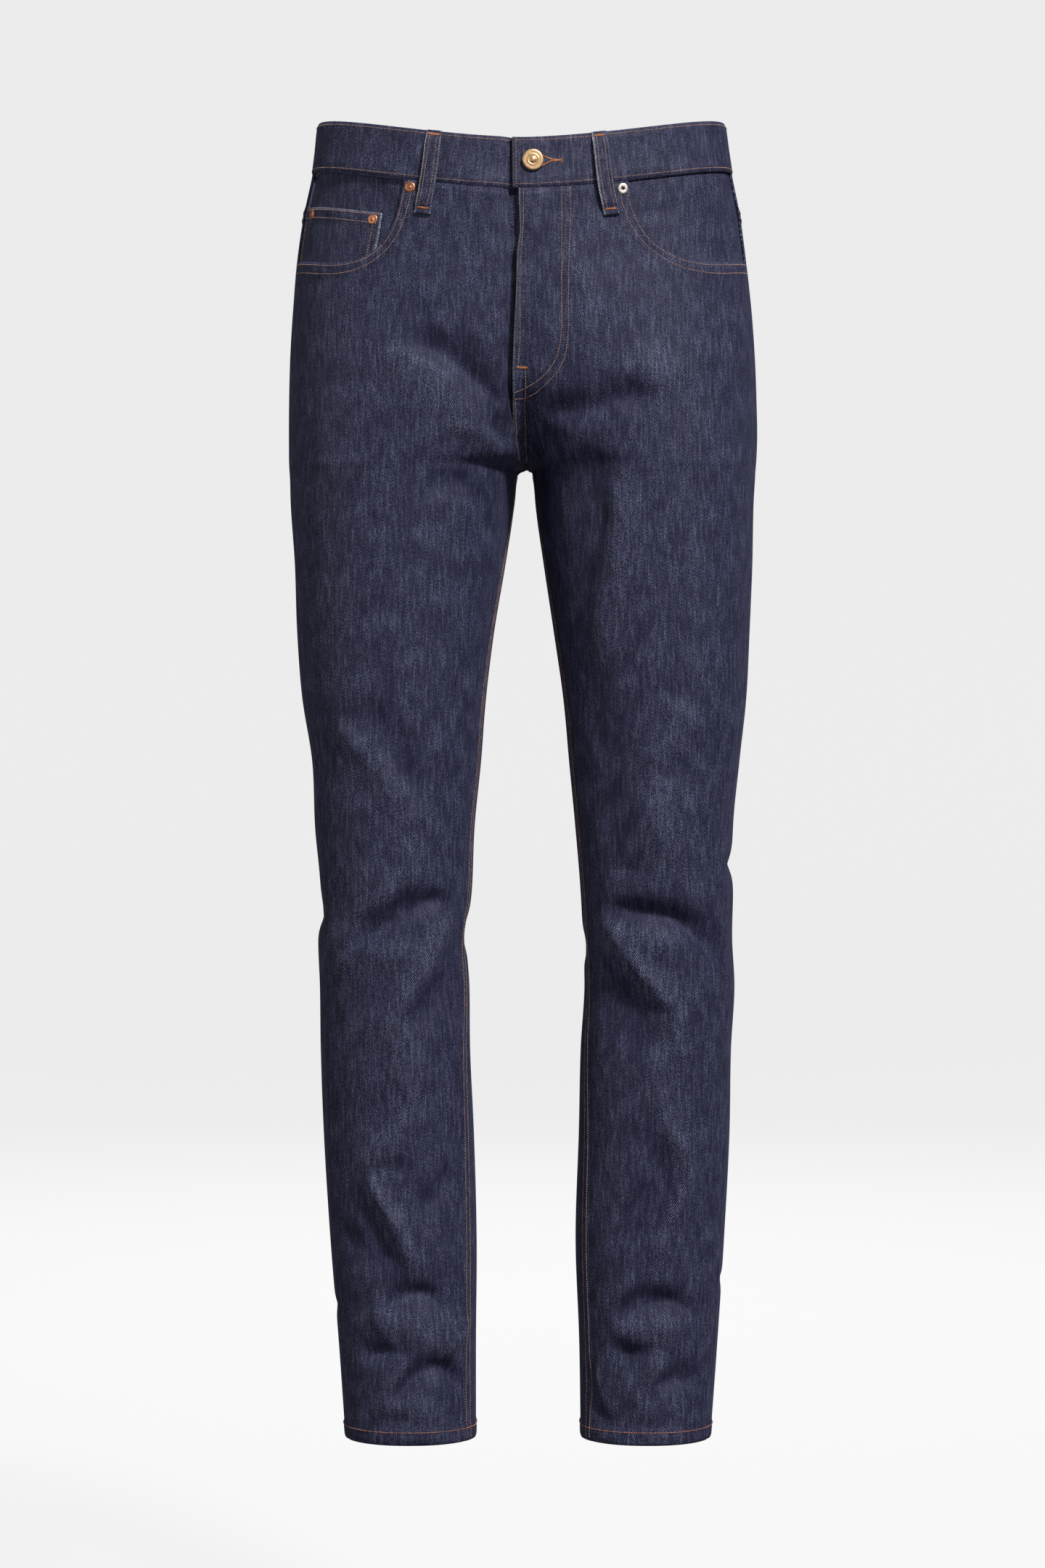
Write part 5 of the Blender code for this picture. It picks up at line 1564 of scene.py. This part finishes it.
# Near-black metal for the washer's hole: painted shade, over the post's own dark brown.
hole_shade = turned_metal("rivet_hole_painted_shade", (0.10, 0.05, 0.035), 0.55)
button = turned("button_turned", BUTTON_PROFILE, 64, button_place, [brass])
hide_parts("button")
for name, place in RIVETS.items():
    if place[0] == "left":
        slot, profile, metals, painted_shade_radius = "rivet_nickel", WASHER_PROFILE, [nickel, hole_shade], WASHER_SHADE_RADIUS
    else:
        slot, profile, metals, painted_shade_radius = "rivet_copper", RIVET_PROFILE, [copper], 0.0
    rivet = turned(name + "_turned", profile, 40, partial(rivet_place, *place), metals, painted_shade_radius)
    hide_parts(name)


# ==== floor, light and camera ====================================================================
# A pale floor that bends up into a wall all round, large soft lamps, and the camera straight in front at
# half the jeans' height.
FLOOR = -1.32
FLOOR_CAP = 0.02                         # radius of the face at its middle
FLOOR_REACH = 5.6                        # the floor is flat up to this far out,
SWEEP_BEND = 1.6                         # then bends up with this radius
SWEEP_TOP = 8.0
SWEEP_SIDES = 72
bends = np.radians(np.arange(0, 91, 6))
reaches = np.concatenate([[FLOOR_CAP], FLOOR_REACH + SWEEP_BEND * np.sin(bends), [FLOOR_REACH + SWEEP_BEND]])
levels = np.concatenate([[FLOOR], FLOOR + SWEEP_BEND * (1 - np.cos(bends)), [SWEEP_TOP]])
sides = np.arange(SWEEP_SIDES) * 2 * pi / SWEEP_SIDES
sweep_points = [(reach * sin(side), reach * cos(side), level) for reach, level in zip(reaches, levels)
                for side in sides]
sweep_faces = [(ring * SWEEP_SIDES + i, ring * SWEEP_SIDES + (i + 1) % SWEEP_SIDES,
                (ring + 1) * SWEEP_SIDES + (i + 1) % SWEEP_SIDES, (ring + 1) * SWEEP_SIDES + i)
               for ring in range(len(levels) - 1) for i in range(SWEEP_SIDES)]
sweep_faces.append(tuple(reversed(range(SWEEP_SIDES))))
sweep_mesh = bpy.data.meshes.new("sweep")
sweep_mesh.from_pydata(sweep_points, [], sweep_faces)
sweep_mesh.shade_smooth()
sweep = new_piece("sweep", sweep_mesh)
pale, graph = new_graph("pale_sweep")
graph.surface({"Base Color": (0.10, 0.10, 0.10, 1), "Roughness": 0.95, "Specular IOR Level": 0.0,
               "Emission Color": (1, 1, 1, 1), "Emission Strength": 0.80})
sweep_mesh.materials.append(pale)
sweep.visible_diffuse = False
sweep.visible_glossy = False

world = bpy.data.worlds.new("studio")
bpy.context.scene.world = world
world.use_nodes = True
world.node_tree.nodes["Background"].inputs["Color"].default_value = (1, 1, 1, 1)
world.node_tree.nodes["Background"].inputs["Strength"].default_value = 0.09

LAMPS = {                                # place, what it points at, size, watts
    "key": ((2.6, -4.0, 4.4), (0.0, 0.0, -0.5), (0.8, 1.0), 435),
    "front": ((0.3, -4.6, -0.4), (0.0, 0.0, -0.6), (3.0, 3.4), 17),
    "low": ((1.6, -3.2, -1.0), (0.0, 0.0, -0.95), (0.8, 0.5), 9),
    "fill": ((-3.6, -1.4, 0.5), (0.0, 0.0, -0.55), (1.4, 2.2), 26),
    "top": ((0.0, 0.3, 2.4), (0.0, 0.0, -0.5), (2.0, 1.4), 10),
    "back": ((0.0, 3.8, 2.2), (0.0, 0.0, -0.55), (0.6, 1.4), 190),
}
for name, (place, target, size, watts) in LAMPS.items():
    lamp = bpy.data.lights.new(name, "AREA")
    lamp.shape = "RECTANGLE"
    lamp.size, lamp.size_y = size
    lamp.energy = watts
    holder = new_piece(name, lamp)
    holder.location = place
    holder.rotation_euler = (Vector(target) - Vector(place)).to_track_quat("-Z", "Y").to_euler()

CAMERA_DISTANCE = 3.0
CAMERA_HEIGHT = -0.5255
camera = bpy.data.cameras.new("camera")
camera.lens = 83.33
holder = new_piece("camera", camera)
holder.location = (0, -CAMERA_DISTANCE, CAMERA_HEIGHT)
holder.rotation_euler = (pi / 2, 0, 0)
bpy.context.scene.camera = holder
bpy.context.scene.view_settings.view_transform = "Standard"
